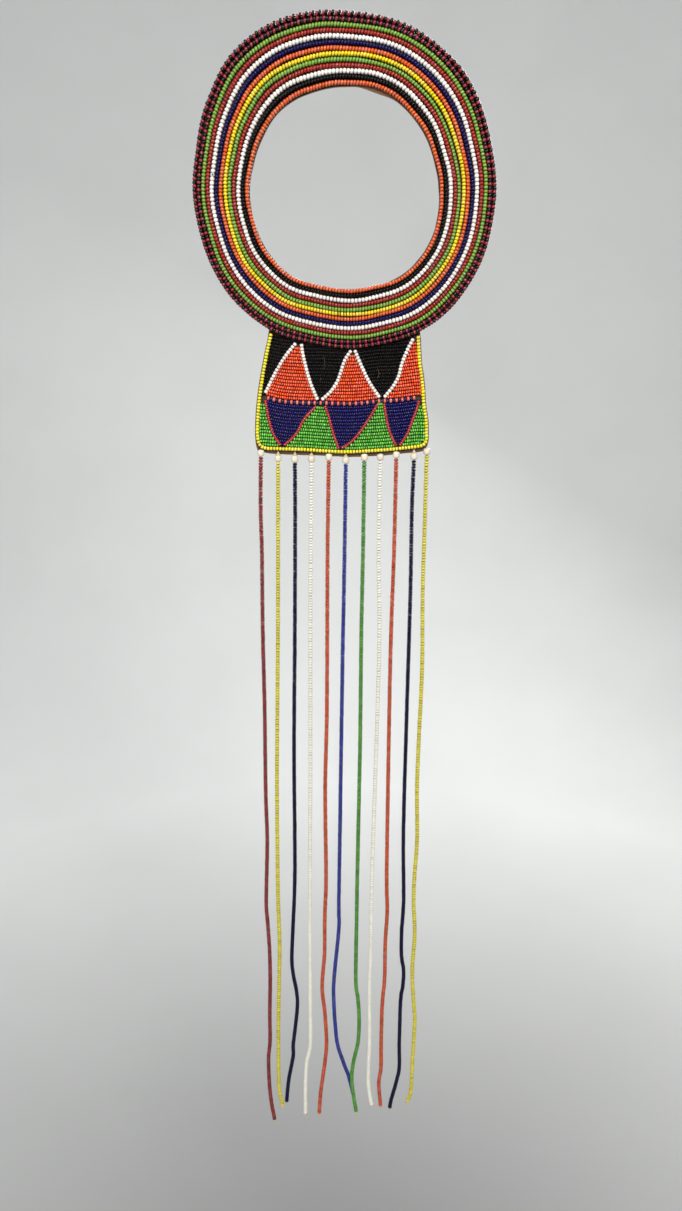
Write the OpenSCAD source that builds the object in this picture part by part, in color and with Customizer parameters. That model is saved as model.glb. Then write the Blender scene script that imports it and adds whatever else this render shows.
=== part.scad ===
// Beaded neck collar with a beaded panel and eleven long bead strands.
// X runs to the viewer's right, Y away from the viewer and Z up. The origin is on the
// inner edge of the ring's leather at the top, where the collar hangs.

/* [Ring] */
// Width of the neck opening, at the ring's inner edge at the top
neck_d = 138; // [120:1:180]
// Width of the beaded band where it is narrowest, between its first and last rows
band_w = 38.2; // [38:0.2:50]
// Thickness of the ring's leather
ring_leather_t = 2.2; // [1:0.1:3]
// Width of leather that shows inside the first row of beads
lip_w = 0.6; // [0.3:0.1:2]
// Extra width of the leather tongue at the upper right of the neck opening
tongue_w = 1.8; // [0:0.1:3]
// How far the outer rim lies behind the inner edge
dish = 3; // [0:0.5:8]

/* [Beads] */
// Diameter of the common seed beads
seed_d = 2.9; // [2.4:0.1:3]
// Diameter of the white seed beads in the ring
white_d = 3.4; // [2.9:0.1:3.5]
// Diameter of the small seed beads that fill the panel
fine_d = 2.3; // [1.8:0.1:2.5]
// Diameter of the beads in the belt across the panel
belt_d = 3.4; // [2.6:0.1:3.6]
// Clearance between a string or field of beads and what carries it
seat = 0.15; // [0.1:0.05:0.3]

/* [Panel] */
// Thickness of the panel's leather
panel_leather_t = 1.8; // [1:0.1:3]
// Width of leather that shows outside the border beads at the panel's sides
panel_margin = 0.8; // [0.3:0.1:1.5]
// How far the panel's leather reaches up behind the ring
panel_lap = 12; // [6:1:20]

/* [Strands] */
// Diameter of the cream bead at the head of each strand
head_d = 6.4; // [5:0.2:7]
// Height of the cream bead at the head of each strand
head_h = 5.2; // [4:0.2:5.6]
// Diameter of the hole through a head bead
head_bore_d = 1.2; // [1:0.1:2]
// Diameter of the thread that carries a strand
thread_d = 0.7; // [0.4:0.1:0.8]
// Diameter of the knot that ends each strand
knot_d = 2; // [1:0.2:2.4]

/* [Hidden] */
// Colours of the beads and of the leather
ORANGE = [0.93, 0.28, 0.10];
BLACK = [0.05, 0.05, 0.05];
WHITE = [0.93, 0.91, 0.86];
RED = [0.60, 0.10, 0.08];
GREEN = [0.30, 0.62, 0.20];
YELLOW = [0.93, 0.78, 0.08];
NAVY = [0.08, 0.06, 0.32];
BLUE = [0.08, 0.20, 0.75];
CREAM = [0.88, 0.82, 0.68];
LEATHER = [0.35, 0.23, 0.13];

// Rows of the ring from the neck outwards: node, colour, bead diameter
ROWS = [
    ["ring_row_01", ORANGE, seed_d],
    ["ring_row_02", BLACK, seed_d],
    ["ring_row_03", WHITE, white_d],
    ["ring_row_04", RED, seed_d],
    ["ring_row_05", GREEN, seed_d],
    ["ring_row_06", YELLOW, seed_d],
    ["ring_row_07", ORANGE, seed_d],
    ["ring_row_08", NAVY, seed_d],
    ["ring_row_09", WHITE, white_d],
    ["ring_row_10", RED, seed_d],
    ["ring_row_11", GREEN, seed_d],
    ["ring_row_12", BLACK, seed_d],
    ["ring_row_13", RED, seed_d]
];

// Shape of the ring every 15 degrees, from the bottom and clockwise as the viewer sees it:
// how far the first row stands out from the neck circle, and how much wider the band is
// there than band_w
RIM = [
    [2.4, 1.5], [2.4, 1.2], [4.6, 1.0], [4.4, 1.1], [3.0, 1.0], [1.9, 0.7],
    [1.1, 1.2], [-0.1, 2.6], [0.3, 6.0], [1.6, 10.2], [0.9, 11.6], [-0.2, 11.2],
    [0, 8.4], [1.2, 7.3], [1.2, 6.7], [0.4, 6.8], [-0.2, 4.3], [-0.6, 2.2],
    [0.6, 1.3], [2.9, 0.6], [5.1, 0.2], [6.2, 0.6], [5.7, 1.4], [3.5, 1.8]
];

// Yellow border of the panel as x and z, from under the ring at the left, round the
// bottom and up again at the right
BORDER = [
    [-55.5, -174], [-58.5, -187], [-62.4, -207], [-64.9, -224], [-66.2, -240],
    [-66.3, -250], [-65, -256.3], [-61, -259.4], [-52, -260], [-31, -260.4],
    [-10, -261.6], [5, -261.9], [26, -260.7], [43, -259.2], [58, -257.4],
    [63.6, -255.8], [65.5, -252], [65.4, -246], [64.8, -236], [62.9, -226],
    [61.9, -214], [60.5, -203], [58.9, -194.6], [58, -184.7], [57.4, -174.8]
];
// First and last points of the border's left side, bottom and right side
BORDER_LEFT = [0, 6];
BORDER_BOTTOM = [7, 14];
BORDER_RIGHT = [15, 24];

// White strings on the panel as x and z, from their top ends down
WHITE_STRINGS = [
    [[-37.4, -181.3], [-43.5, -188.6], [-51.8, -201.5], [-59.4, -216.3]],
    [[-31.9, -182.2], [-31.2, -187.4], [-29.5, -194.7], [-27.4, -202.6],
     [-24.3, -211.9], [-20.1, -221.1]],
    [[5.2, -186.4], [1, -193.1], [-2.3, -203.1], [-5, -209.8], [-9.8, -216.5],
     [-15.3, -221.5]],
    [[9.4, -186.2], [14, -196.4], [20.4, -208.9], [27.7, -219.1]],
    [[52.9, -177.4], [49.5, -184.1], [45.5, -194], [43, -204], [39.1, -211.4],
     [33, -219]]
];

// Belt of alternating beads across the panel as x and z, from left to right
BELT = [
    [-58.8, -221.1], [-49.6, -223.3], [-40.8, -224.3], [-27.3, -224.8],
    [-18.1, -224.8], [-9.1, -225], [1, -225.2], [10.2, -224.9], [19.5, -224],
    [28, -222.9], [38, -222.5], [46.7, -221.6], [56.3, -220.2]
];

// Red outlines as x and z: for each V its left arm and its right arm, from the top down
RED_ARMS = [
    [[[-59.8, -224.6], [-58.8, -231], [-56.7, -240.5], [-54.1, -248.7], [-49.4, -256]],
     [[-21.7, -228.3], [-26.9, -233.5], [-31.1, -238.9], [-35.3, -247.1],
      [-39.4, -252], [-44.4, -256.3]]],
    [[[-13.3, -228.4], [-11.1, -234], [-7.5, -246.9], [-3.5, -258.2]],
     [[26.2, -226.8], [20.8, -235.8], [14, -246.1], [7.1, -254.1], [0.7, -258.3]]],
    [[[32.3, -226.4], [33.6, -233], [35.4, -241.8], [38.4, -249.9], [41.4, -255.5]],
     [[58.7, -224], [57.4, -229.4], [54.1, -238.2], [50.8, -247.1], [45.8, -255.4]]]
];

// Centres of the head beads as x and z, and whether their thread shows above them
HEADS = [
    [-63.7, -263.4, false], [-50.2, -267.5, true], [-37.1, -267.9, true],
    [-24.1, -267.7, true], [-10.5, -266.1, false], [2.8, -268.5, true],
    [17.3, -266, false], [29.7, -265.8, false], [42.2, -263.9, false],
    [56.1, -265.1, true], [66, -261.2, false]
];

// Strands below their head beads: colour, and a route of x, depth and z down to the knot,
// where depth is measured back from the head beads' middles
STRANDS = [
    [RED, [[-64.2, 0.4, -308], [-63.5, 0.9, -340], [-63.2, 0.4, -405],
        [-62, -0.4, -472], [-61.6, -0.9, -541], [-60.6, 0, -586], [-61.9, 1.1, -641],
        [-60.7, 0.3, -662], [-59.2, -0.5, -686], [-58.8, 0, -716], [-59.4, 0.9, -746],
        [-59.3, 0.2, -775], [-60.6, -0.6, -790], [-60.2, 0, -814], [-58.6, 0.8, -835],
        [-55.9, 0.4, -851]]],
    [YELLOW, [[-50.5, -0.5, -330], [-50.9, 0.3, -405], [-51.7, 0.8, -475],
        [-52.2, 0.2, -541], [-51.7, -0.8, -632], [-50.5, -0.2, -679],
        [-51.3, 0.7, -730], [-51.9, 0.1, -773], [-51.6, -0.6, -812],
        [-50.4, -0.3, -828], [-48.8, 0, -836]]],
    [NAVY, [[-36.9, 0.5, -308], [-37.2, 0.9, -405], [-37.9, 0.1, -506],
        [-37.2, -0.9, -612], [-39, -0.3, -667], [-40, 0.6, -697], [-38.4, 1, -713],
        [-35.7, 0.5, -728], [-35.3, -0.3, -744], [-38.7, -0.8, -777],
        [-38.8, 0, -789], [-42.8, 0.6, -813], [-44.6, 0.8, -833]]],
    [WHITE, [[-24.5, -0.5, -330], [-24.5, -0.8, -404], [-24.3, 0.3, -530],
        [-24.5, 0.9, -649], [-23.9, 0, -730], [-23.8, -0.8, -777],
        [-26.8, -0.2, -795], [-28, 0.5, -819], [-27.9, 0.2, -844]]],
    [ORANGE, [[-11.1, 0.4, -339], [-10.9, 0.9, -471], [-11.9, 0.1, -540],
        [-10.7, -0.8, -619], [-11.6, -0.2, -654], [-11.7, 0.6, -691],
        [-13.4, 0.9, -715], [-13.3, 0.4, -728], [-11.1, -0.4, -746],
        [-9.4, -0.8, -776], [-11.3, 0, -800], [-14.3, 0.5, -825], [-15.4, 0.2, -844]]],
    [BLUE, [[2.5, -0.4, -339], [1.6, -0.9, -437], [1, 0, -540], [0.4, 0.8, -642],
        [0.8, 0.3, -661], [-0.4, -0.5, -679], [-3.2, -0.9, -713], [-3.4, 0, -733],
        [-0.4, 1.2, -774], [5.2, 3, -796], [10.4, 4.4, -812], [14, 4.6, -827]]],
    [GREEN, [[17.2, 0.5, -339], [16.7, 0.9, -404], [16.8, 0, -505],
        [16.1, -0.8, -585], [15.8, -0.3, -654], [15.7, 0.5, -714],
        [17.8, 0.6, -733], [19.1, 0, -752], [18.4, -0.4, -774], [14.6, -0.5, -794],
        [13.2, -0.4, -810], [14.8, -0.3, -827], [17.2, 0, -842]]],
    [WHITE, [[29.6, -0.5, -339], [31.3, -0.9, -404], [30.8, 0, -471],
        [29.7, 0.8, -540], [28.4, 0.2, -619], [28.3, -0.6, -690], [27.7, -0.1, -721],
        [28.5, 0.7, -772], [27.9, 0.3, -800], [28.3, -0.4, -819], [30.8, 0, -835]]],
    [ORANGE, [[41.9, 0.5, -339], [40.8, 0.9, -404], [40.5, 0.1, -471],
        [40.8, -0.9, -611], [41.9, -0.3, -648], [40.8, 0.5, -678], [40.8, 0.9, -714],
        [39.1, 0.2, -739], [38.8, -0.6, -776], [39, -0.2, -800], [37.4, 0.4, -815],
        [39, 0.2, -836]]],
    [NAVY, [[55.3, -0.4, -307], [55.6, -0.9, -371], [54.9, 0, -470],
        [54.4, 0.9, -575], [55.8, 0.3, -640], [54.7, -0.3, -666], [54.9, -0.8, -690],
        [57.1, -0.2, -705], [56.8, 0.5, -721], [55.2, 0.9, -734], [54.8, 0.1, -776],
        [55.2, -0.6, -799], [52.7, 0, -815], [49, 0.5, -831], [47.8, 0.3, -838]]],
    [YELLOW, [[65.9, 0.4, -307], [65.6, 0.8, -371], [66.6, 0.2, -436],
        [65.2, -0.6, -500], [64.8, -0.9, -540], [66, 0, -584], [64.6, 0.8, -620],
        [64.4, 0.3, -643], [66, -0.5, -671], [64.6, -0.9, -705], [66.8, -0.2, -739],
        [68.1, 0.6, -754], [67.2, 0.9, -782], [66.1, 0.1, -822], [63.9, 0, -831]]]
];

// Sides of a bead tube, and stations round the ring
tube_sides = 8;
ring_stations = 40;
// Radius of an eight-sided tube with the section area of a round one 1 across, and the
// distance from its middle to its sides
octagon_r = 0.527;
octagon_flat = 0.487;
// Where the leather tongue is round the ring, and half the angle that it spans
tongue_at = 199;
tongue_span = 14;
// How far the ring's edge chamfer goes into its face, and how far the leather reaches
// past the middle of the last row
edge_round = 0.6;
rim_w = 0.4;
// Gap kept between the ring's last row and the panel's fields, between a field and a
// string, and how far a field's cutter and the head bead's drill run past them
rim_gap = 0.4;
field_gap = 0.25;
overrun = 10;
// How far a thread's anchor is below the middle of the border, the rounding of a head
// bead's edge, how far its hidden thread stands out of it, and the gap to its strand
anchor_drop = 2;
head_round = 1.2;
thread_out = 0.15;
head_gap = 0.2;
// Lengths of the shoulder under a head bead, and of the knot's neck and tip
shoulder_h = 0.5;
knot_neck = 0.8;
knot_h = 1.6;
head_facets = 48;

// Derived places: the first row's nominal radius, the ring's middle height, the panel's
// front face, and the middle of the head beads and strands
first_row_r = neck_d / 2 + lip_w + seed_d / 2;
ring_z = -neck_d / 2;
panel_y = dish + ring_leather_t / 2 + seat;
strand_y = panel_y - seat - head_d / 2;
field_y = panel_y - seat;
string_reach = seed_d / 2 + field_gap;
arm_reach = fine_d / 2 + field_gap;
belt_reach = belt_d / 2 + field_gap;

function two(i) = i < 10 ? str("0", i) : str(i);
function wrap(i, n) = (i % n + n) % n;
function unit(v) = v / norm(v);
function part(points, range) = [for (i = [range[0] : range[1]]) points[i]];
function back(points) = [for (i = [len(points) - 1 : -1 : 0]) points[i]];

// Smooth curve through b and c, with a and d as the points before and after them
function curve(a, b, c, d, t) =
    0.5 * (2 * b + (c - a) * t + (2 * a - 5 * b + 4 * c - d) * t * t
    + (3 * b - a - 3 * c + d) * t * t * t);

// The curve through all points of a route, with steps sections to each span
function smooth(points, steps) = let (n = len(points) - 1) concat(
    [for (i = [0 : n - 1], j = [0 : steps - 1])
        curve(points[max(i - 1, 0)], points[i], points[i + 1],
            points[min(i + 2, n)], j / steps)],
    [points[n]]);

// Shape of the ring at an angle: the first row's radius and the band's width
function rim(angle) = let (n = len(RIM), u = angle * n / 360, k = floor(u))
    [first_row_r, band_w] + curve(RIM[wrap(k - 1, n)], RIM[wrap(k, n)],
        RIM[wrap(k + 1, n)], RIM[wrap(k + 2, n)], u - k);

// Distance from the first row's middle to that of row i, beads set side by side
function beads_across(i) = i <= 0 ? 0
    : beads_across(i - 1) + (ROWS[i - 1][2] + ROWS[i][2]) / 2;
function row_r(i, angle) = let (r = rim(angle))
    r[0] + r[1] * beads_across(i) / beads_across(len(ROWS) - 1);
function last_row_r(angle) = row_r(len(ROWS) - 1, angle);

// Depth of the middle of the ring's leather at a radius, which the dish sets back
function lift(angle, r) = let (shape = rim(angle)) dish * (r - shape[0]) / shape[1];
function on_ring(angle, r, y) = [-r * sin(angle), y, ring_z - r * cos(angle)];
function tongue(angle) = let (u = (angle - tongue_at) / tongue_span)
    abs(u) < 1 ? tongue_w * pow(cos(90 * u), 2) : 0;

// A tube's section on the ring, which stands on the leather with its flat side
function row_section(i, angle) =
    let (d = ROWS[i][2], y = -ring_leather_t / 2 - seat - octagon_flat * d)
    [for (j = [0 : tube_sides - 1])
        let (turn = (j + 0.5) * 360 / tube_sides,
            r = row_r(i, angle) + octagon_r * d * cos(turn))
        on_ring(angle, r, lift(angle, r) + y + octagon_r * d * sin(turn))];

// A section of the ring's leather, with both edges chamfered
function leather_section(angle) =
    let (inner = rim(angle)[0] - seed_d / 2 - lip_w - tongue(angle),
        outer = last_row_r(angle) + rim_w, half = ring_leather_t / 2,
        corners = [[inner, 0], [inner + edge_round, -half], [outer - edge_round, -half],
            [outer, 0], [outer - edge_round, half], [inner + edge_round, half]])
    [for (c = corners) on_ring(angle, c[0], lift(angle, c[0]) + c[1])];

// Sections of a tube along a route, each with its own radius
function tube_sections(route, radii) = [for (i = [0 : len(route) - 1])
    let (ahead = route[min(i + 1, len(route) - 1)], behind = route[max(i - 1, 0)],
        u = unit(cross(unit(ahead - behind), [0, 1, 0])),
        v = cross(u, unit(ahead - behind)))
    [for (j = [0 : tube_sides - 1]) let (turn = (j + 0.5) * 360 / tube_sides)
        route[i] + radii[i] * (cos(turn) * u + sin(turn) * v)]];

// Solid skin over sections that have the same number of points
module skin(sections, closed = false) {
    m = len(sections[0]);
    n = len(sections);
    sides = [for (i = [0 : closed ? n - 1 : n - 2], j = [0 : m - 1])
        [i * m + j, i * m + (j + 1) % m, (i + 1) % n * m + (j + 1) % m,
            (i + 1) % n * m + j]];
    first = [for (j = [m - 1 : -1 : 0]) j];
    last = [for (j = [0 : m - 1]) (n - 1) * m + j];
    polyhedron([for (s = sections) each s], concat(sides, closed ? [] : [first, last]));
}

// The leather ring, lipped and dished
module ring_leather() {
    color(LEATHER)
        skin([for (k = [0 : ring_stations - 1])
            leather_section(k * 360 / ring_stations)], closed = true);
}

// Row i of the ring, as the tube that its beads fill
module ring_row(i) {
    color(ROWS[i][1])
        skin([for (k = [0 : ring_stations - 1])
            row_section(i, k * 360 / ring_stations)], closed = true);
}

// A string of beads laid on the panel along x and z points
module panel_string(points, d, steps) {
    y = panel_y - seat - octagon_flat * d;
    route = [for (p = smooth(points, steps)) [p[0], y, p[1]]];
    skin(tube_sections(route, [for (p = route) octagon_r * d]));
}

// Points moved sideways from a route of x and z: to the viewer's left of a route that
// runs down, and below a route that runs to the right
function aside(points, d) = [for (i = [0 : len(points) - 1])
    let (along = unit(points[min(i + 1, len(points) - 1)] - points[max(i - 1, 0)]))
    points[i] + d * [along[1], -along[0]]];

// A flat slab on x and z points, with its back at y
module slab(points, y, t) {
    translate([0, y, 0])
        rotate([90, 0, 0])
            linear_extrude(t)
                polygon(points);
}

// The space under the ring that the panel's fields keep out of
module ring_shadow() {
    slab([for (k = [0 : ring_stations - 1]) let (a = k * 360 / ring_stations,
            p = on_ring(a, last_row_r(a) + octagon_r * seed_d + rim_gap, 0))
        [p[0], p[2]]], field_y + overrun, fine_d + 2 * overrun);
}

// A field of small beads on the panel, cut clear of the ring
module field(points, tint) {
    color(tint)
        difference() {
            slab(points, field_y, fine_d);
            ring_shadow();
        }
}

// The panel's leather, which laps behind the ring
module panel_leather() {
    lap = [for (a = [30 : -6 : -30])
        let (p = on_ring(a, last_row_r(wrap(a, 360)) - panel_lap, 0)) [p[0], p[2]]];
    edge = seed_d / 2 + panel_margin;
    left = aside(part(BORDER, BORDER_LEFT), edge);
    right = aside(part(BORDER, BORDER_RIGHT), edge);
    hem = [[-66.5, -261.9], [-52, -264.2], [-31, -264.8], [-10, -265.6], [9.7, -265.8],
        [30, -264.6], [50, -262.6], [64.5, -260.6]];
    color(LEATHER)
        slab(concat(left, hem, right, back(lap)), panel_y + panel_leather_t,
            panel_leather_t);
}

// The yellow string round the panel's sides and bottom
module border_string() {
    color(YELLOW) panel_string(BORDER, seed_d, 1);
}

// The belt of alternating beads across the panel
module belt_string() {
    color(ORANGE) panel_string(BELT, belt_d, 1);
}

// White string i, one side of an orange triangle
module white_string(i) {
    color(WHITE) panel_string(WHITE_STRINGS[i], seed_d, 1);
}

// The two arms of red outline i, which end just short of each other
module red_string(i) {
    color(RED)
        for (arm = RED_ARMS[i])
            panel_string(arm, fine_d, 1);
}

// Black field i, between the ring and two white strings
module black_field(i) {
    border_in = aside(part(BORDER, BORDER_LEFT), -string_reach);
    tops = [[-50, -168], [-31, -170], [10, -170]];
    tips = [[[-62.2, -219.3], [-61.4, -217.7]], [[-17.7, -222.1]], [[30.4, -220.1]]];
    left = i == 0 ? part(border_in, [0, 2])
        : aside(WHITE_STRINGS[i == 1 ? 1 : 3], -string_reach);
    right = aside(WHITE_STRINGS[i * 2], string_reach);
    ends = [[-37, -170], [5, -170], [52, -168]];
    field(concat([tops[i]], left, tips[i], back(right), [ends[i]]), BLACK);
}

// Orange triangle i, between two white strings, or a white string and the border
module orange_field(i) {
    over_belt = aside(BELT, -belt_reach);
    left = aside(WHITE_STRINGS[i * 2], -string_reach);
    right = i < 2 ? back(aside(WHITE_STRINGS[i * 2 + 1], string_reach))
        : concat([[60.1, -218.4]], aside(part(BORDER, [20, 24]), -string_reach),
            [[55, -172]]);
    belt_part = [[1, 3], [6, 8], [10, 12]][i];
    field(concat(left, part(over_belt, belt_part), right), ORANGE);
}

// Navy triangle i, hanging from the belt between two red arms
module navy_field(i) {
    under_belt = aside(BELT, belt_reach);
    left = aside(RED_ARMS[i][0], -arm_reach);
    right = aside(RED_ARMS[i][1], arm_reach);
    tip = [[-46.9, -257.8], [-1.4, -259.5], [43.6, -256.9]][i];
    belt_part = [[1, 3], [5, 8], [10, 11]][i];
    field(concat(left, [tip], back(right), back(part(under_belt, belt_part))), NAVY);
}

// Green field i, under the belt between the red outlines and the border
module green_field(i) {
    border_in = aside(BORDER, -string_reach);
    left = i == 0 ? part(border_in, [4, 7]) : aside(RED_ARMS[i - 1][1], -arm_reach);
    right = i == 3 ? part(border_in, [16, 19]) : back(aside(RED_ARMS[i][0], arm_reach));
    hem = part(border_in, [[8, 8], [9, 10], [12, 13], [14, 15]][i]);
    top = [[-63, -226.3], [-17.7, -227.3], [29.3, -225.6], [60.6, -225.9]][i];
    field(concat([top], left, hem, right), GREEN);
}

// Head bead i, rounded and drilled for its thread
module head_bead(i) {
    r = head_d / 2;
    h = head_h / 2;
    color(CREAM)
        translate([HEADS[i][0], strand_y, HEADS[i][1]])
            difference() {
                rotate_extrude($fn = head_facets)
                    polygon([[0, -h], [r - head_round, -h], [r - head_round / 3, -h
                        + head_round / 3], [r, -h + head_round], [r, h - head_round],
                        [r - head_round / 3, h - head_round / 3], [r - head_round, h],
                        [0, h]]);
                cylinder(h = head_h + overrun, d = head_bore_d, center = true,
                    $fn = head_facets);
            }
}

// Height of the border's middle at x, along its bottom
function border_z(x) = let (hem = part(BORDER, BORDER_BOTTOM)) lookup(x, hem);

// Strand i, with its thread up through the head bead and a knot at its end
module strand(i) {
    x = HEADS[i][0];
    top = HEADS[i][1] + head_h / 2;
    start = HEADS[i][1] - head_h / 2 - head_gap;
    thread_y = panel_y - seat - thread_d / 2;
    anchor = [x, thread_y, border_z(x) - anchor_drop];
    thread = concat(HEADS[i][2] ? [anchor, [x, strand_y, top + 2 * thread_out]] : [],
        [[x, strand_y, top + thread_out], [x, strand_y, start]]);
    route = [for (p = STRANDS[i][1]) [p[0], strand_y + p[1], p[2]]];
    beads = smooth(concat([[x, strand_y, start - shoulder_h]], route), 1);
    end = beads[len(beads) - 1];
    down = unit(end - beads[len(beads) - 2]);
    knot = [end + knot_neck * down, end + (knot_neck + knot_h / 2) * down,
        end + (knot_neck + knot_h) * down];
    color(STRANDS[i][0])
        skin(tube_sections(concat(thread, beads, knot), concat(
            [for (p = thread) thread_d / 2], [for (p = beads) octagon_r * seed_d],
            [thread_d / 2, knot_d / 2, thread_d / 2])));
}

function numbered(name, n) = [for (i = [1 : n]) str(name, i)];

ring_leather();
for (i = [0 : len(ROWS) - 1])
    ring_row(i);
panel_leather();
border_string();
belt_string();
for (i = [0 : 4])
    white_string(i);
for (i = [0 : 2])
    red_string(i);
for (i = [0 : 2])
    black_field(i);
for (i = [0 : 2])
    orange_field(i);
for (i = [0 : 2])
    navy_field(i);
for (i = [0 : 3])
    green_field(i);
for (i = [0 : len(HEADS) - 1]) {
    head_bead(i);
    strand(i);
}
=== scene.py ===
"""Visual model of a beaded neck collar: thirteen rows of beads on a leather ring, a beaded
leather panel below it and eleven long bead strands that hang from cream beads."""

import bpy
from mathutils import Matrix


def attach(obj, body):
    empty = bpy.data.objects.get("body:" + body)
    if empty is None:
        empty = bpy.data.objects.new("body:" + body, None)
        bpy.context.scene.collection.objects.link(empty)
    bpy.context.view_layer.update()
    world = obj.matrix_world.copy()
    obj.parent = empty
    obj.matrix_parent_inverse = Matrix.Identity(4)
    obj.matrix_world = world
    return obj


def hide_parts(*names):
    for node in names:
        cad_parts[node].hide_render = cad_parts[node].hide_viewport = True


bl_info = {
    "name": "Beaded Collar",
    "version": (1, 0, 0),
    "blender": (4, 5, 0),
    "location": "3D View > Sidebar > Collar",
    "description": "Builds the beads, leather and threads of a beaded collar round its frame",
    "category": "Object",
}

import zlib

import bpy
import numpy as np
from mathutils import Matrix, Vector

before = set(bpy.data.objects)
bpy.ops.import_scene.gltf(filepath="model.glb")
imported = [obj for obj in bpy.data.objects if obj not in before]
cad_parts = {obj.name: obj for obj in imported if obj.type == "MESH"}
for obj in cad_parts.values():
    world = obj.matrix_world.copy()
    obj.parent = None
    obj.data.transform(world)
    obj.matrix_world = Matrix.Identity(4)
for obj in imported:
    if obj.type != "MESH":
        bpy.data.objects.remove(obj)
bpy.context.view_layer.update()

MM = 0.001

# Rows of the ring from the neck outwards: node, glass, record's slot
ROWS = [
    ("ring_row_01", "amber", "orange_beads"),
    ("ring_row_02", "black", "black_beads"),
    ("ring_row_03", "white", "white_beads"),
    ("ring_row_04", "red", "red_beads"),
    ("ring_row_05", "leaf", "green_beads"),
    ("ring_row_06", "yellow", "yellow_beads"),
    ("ring_row_07", "amber", "orange_beads"),
    ("ring_row_08", "navy", "navy_beads"),
    ("ring_row_09", "white", "white_beads"),
    ("ring_row_10", "red", "red_beads"),
    ("ring_row_11", "leaf", "green_beads"),
    ("ring_row_12", "edge", "edge_beads"),
    ("ring_row_13", "edge", "edge_beads"),
]
# Shape of the ring every 15 degrees, clockwise from the bottom: how far the first row
# stands out from the neck circle and how much wider the band is than its least, in mm
RIM = [
    (2.4, 1.5), (2.4, 1.2), (4.6, 1.0), (4.4, 1.1), (3.0, 1.0), (1.9, 0.7),
    (1.1, 1.2), (-0.1, 2.6), (0.3, 6.0), (1.6, 10.2), (0.9, 11.6), (-0.2, 11.2),
    (0, 8.4), (1.2, 7.3), (1.2, 6.7), (0.4, 6.8), (-0.2, 4.3), (-0.6, 2.2),
    (0.6, 1.3), (2.9, 0.6), (5.1, 0.2), (6.2, 0.6), (5.7, 1.4), (3.5, 1.8),
]
# Routes on the panel as x and z in mm
BORDER = [
    (-55.5, -174), (-58.5, -187), (-62.4, -207), (-64.9, -224), (-66.2, -240),
    (-66.3, -250), (-65, -256.3), (-61, -259.4), (-52, -260), (-31, -260.4),
    (-10, -261.6), (5, -261.9), (26, -260.7), (43, -259.2), (58, -257.4),
    (63.6, -255.8), (65.5, -252), (65.4, -246), (64.8, -236), (62.9, -226),
    (61.9, -214), (60.5, -203), (58.9, -194.6), (58, -184.7), (57.4, -174.8),
]
WHITE_STRINGS = [
    [(-37.4, -181.3), (-43.5, -188.6), (-51.8, -201.5), (-59.4, -216.3)],
    [(-31.9, -182.2), (-31.2, -187.4), (-29.5, -194.7), (-27.4, -202.6),
     (-24.3, -211.9), (-20.1, -221.1)],
    [(5.2, -186.4), (1, -193.1), (-2.3, -203.1), (-5, -209.8), (-9.8, -216.5),
     (-15.3, -221.5)],
    [(9.4, -186.2), (14, -196.4), (20.4, -208.9), (27.7, -219.1)],
    [(52.9, -177.4), (49.5, -184.1), (45.5, -194), (43, -204), (39.1, -211.4),
     (33, -219)],
]
BELT = [
    (-58.8, -221.1), (-49.6, -223.3), (-40.8, -224.3), (-27.3, -224.8),
    (-18.1, -224.8), (-9.1, -225), (1, -225.2), (10.2, -224.9), (19.5, -224),
    (28, -222.9), (38, -222.5), (46.7, -221.6), (56.3, -220.2),
]
RED_ARMS = [
    [[(-59.8, -224.6), (-58.8, -231), (-56.7, -240.5), (-54.1, -248.7), (-49.4, -256)],
     [(-21.7, -228.3), (-26.9, -233.5), (-31.1, -238.9), (-35.3, -247.1),
      (-39.4, -252), (-44.4, -256.3)]],
    [[(-13.3, -228.4), (-11.1, -234), (-7.5, -246.9), (-3.5, -258.2)],
     [(26.2, -226.8), (20.8, -235.8), (14, -246.1), (7.1, -254.1), (0.7, -258.3)]],
    [[(32.3, -226.4), (33.6, -233), (35.4, -241.8), (38.4, -249.9), (41.4, -255.5)],
     [(58.7, -224), (57.4, -229.4), (54.1, -238.2), (50.8, -247.1), (45.8, -255.4)]],
]
# Edges of the panel's leather as x and z in mm: left side, hem and right side
LEATHER_LEFT = [
    (-56, -157), (-57.8, -174), (-60.7, -187), (-64.6, -207), (-67.1, -224),
    (-68.4, -240), (-68.5, -250), (-67.9, -257), (-66.5, -261.9),
]
LEATHER_HEM = [
    (-66.5, -261.9), (-60, -263.3), (-52, -264.2), (-43, -264.3), (-31, -264.8),
    (-20, -265), (-10, -265.6), (9.7, -265.8), (20, -265.3), (30, -264.6), (41, -263.7),
    (50, -262.6), (58, -261.9), (64.5, -260.6),
]
LEATHER_RIGHT = [
    (56.5, -157), (59.6, -174.8), (60.3, -184.5), (61.1, -194.3), (62.7, -202.7),
    (64.1, -213.8), (65.1, -225.7), (67, -235.8), (67.6, -246), (67.7, -252.3),
    (66.5, -257), (64.5, -260.6),
]
LEATHER_TOP = [
    (-56, -157), (-40, -163.6), (-20, -169.3), (0, -170.8), (20, -169.4), (40, -163.5),
    (56.5, -157),
]
# Centres of the head beads as x and z in mm, and whether their thread shows above them
HEADS = [
    (-63.7, -263.4, False), (-50.2, -267.5, True), (-37.1, -267.9, True),
    (-24.1, -267.7, True), (-10.5, -266.1, False), (2.8, -268.5, True),
    (17.3, -266, False), (29.7, -265.8, False), (42.2, -263.9, False),
    (56.1, -265.1, True), (66, -261.2, False),
]
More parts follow.
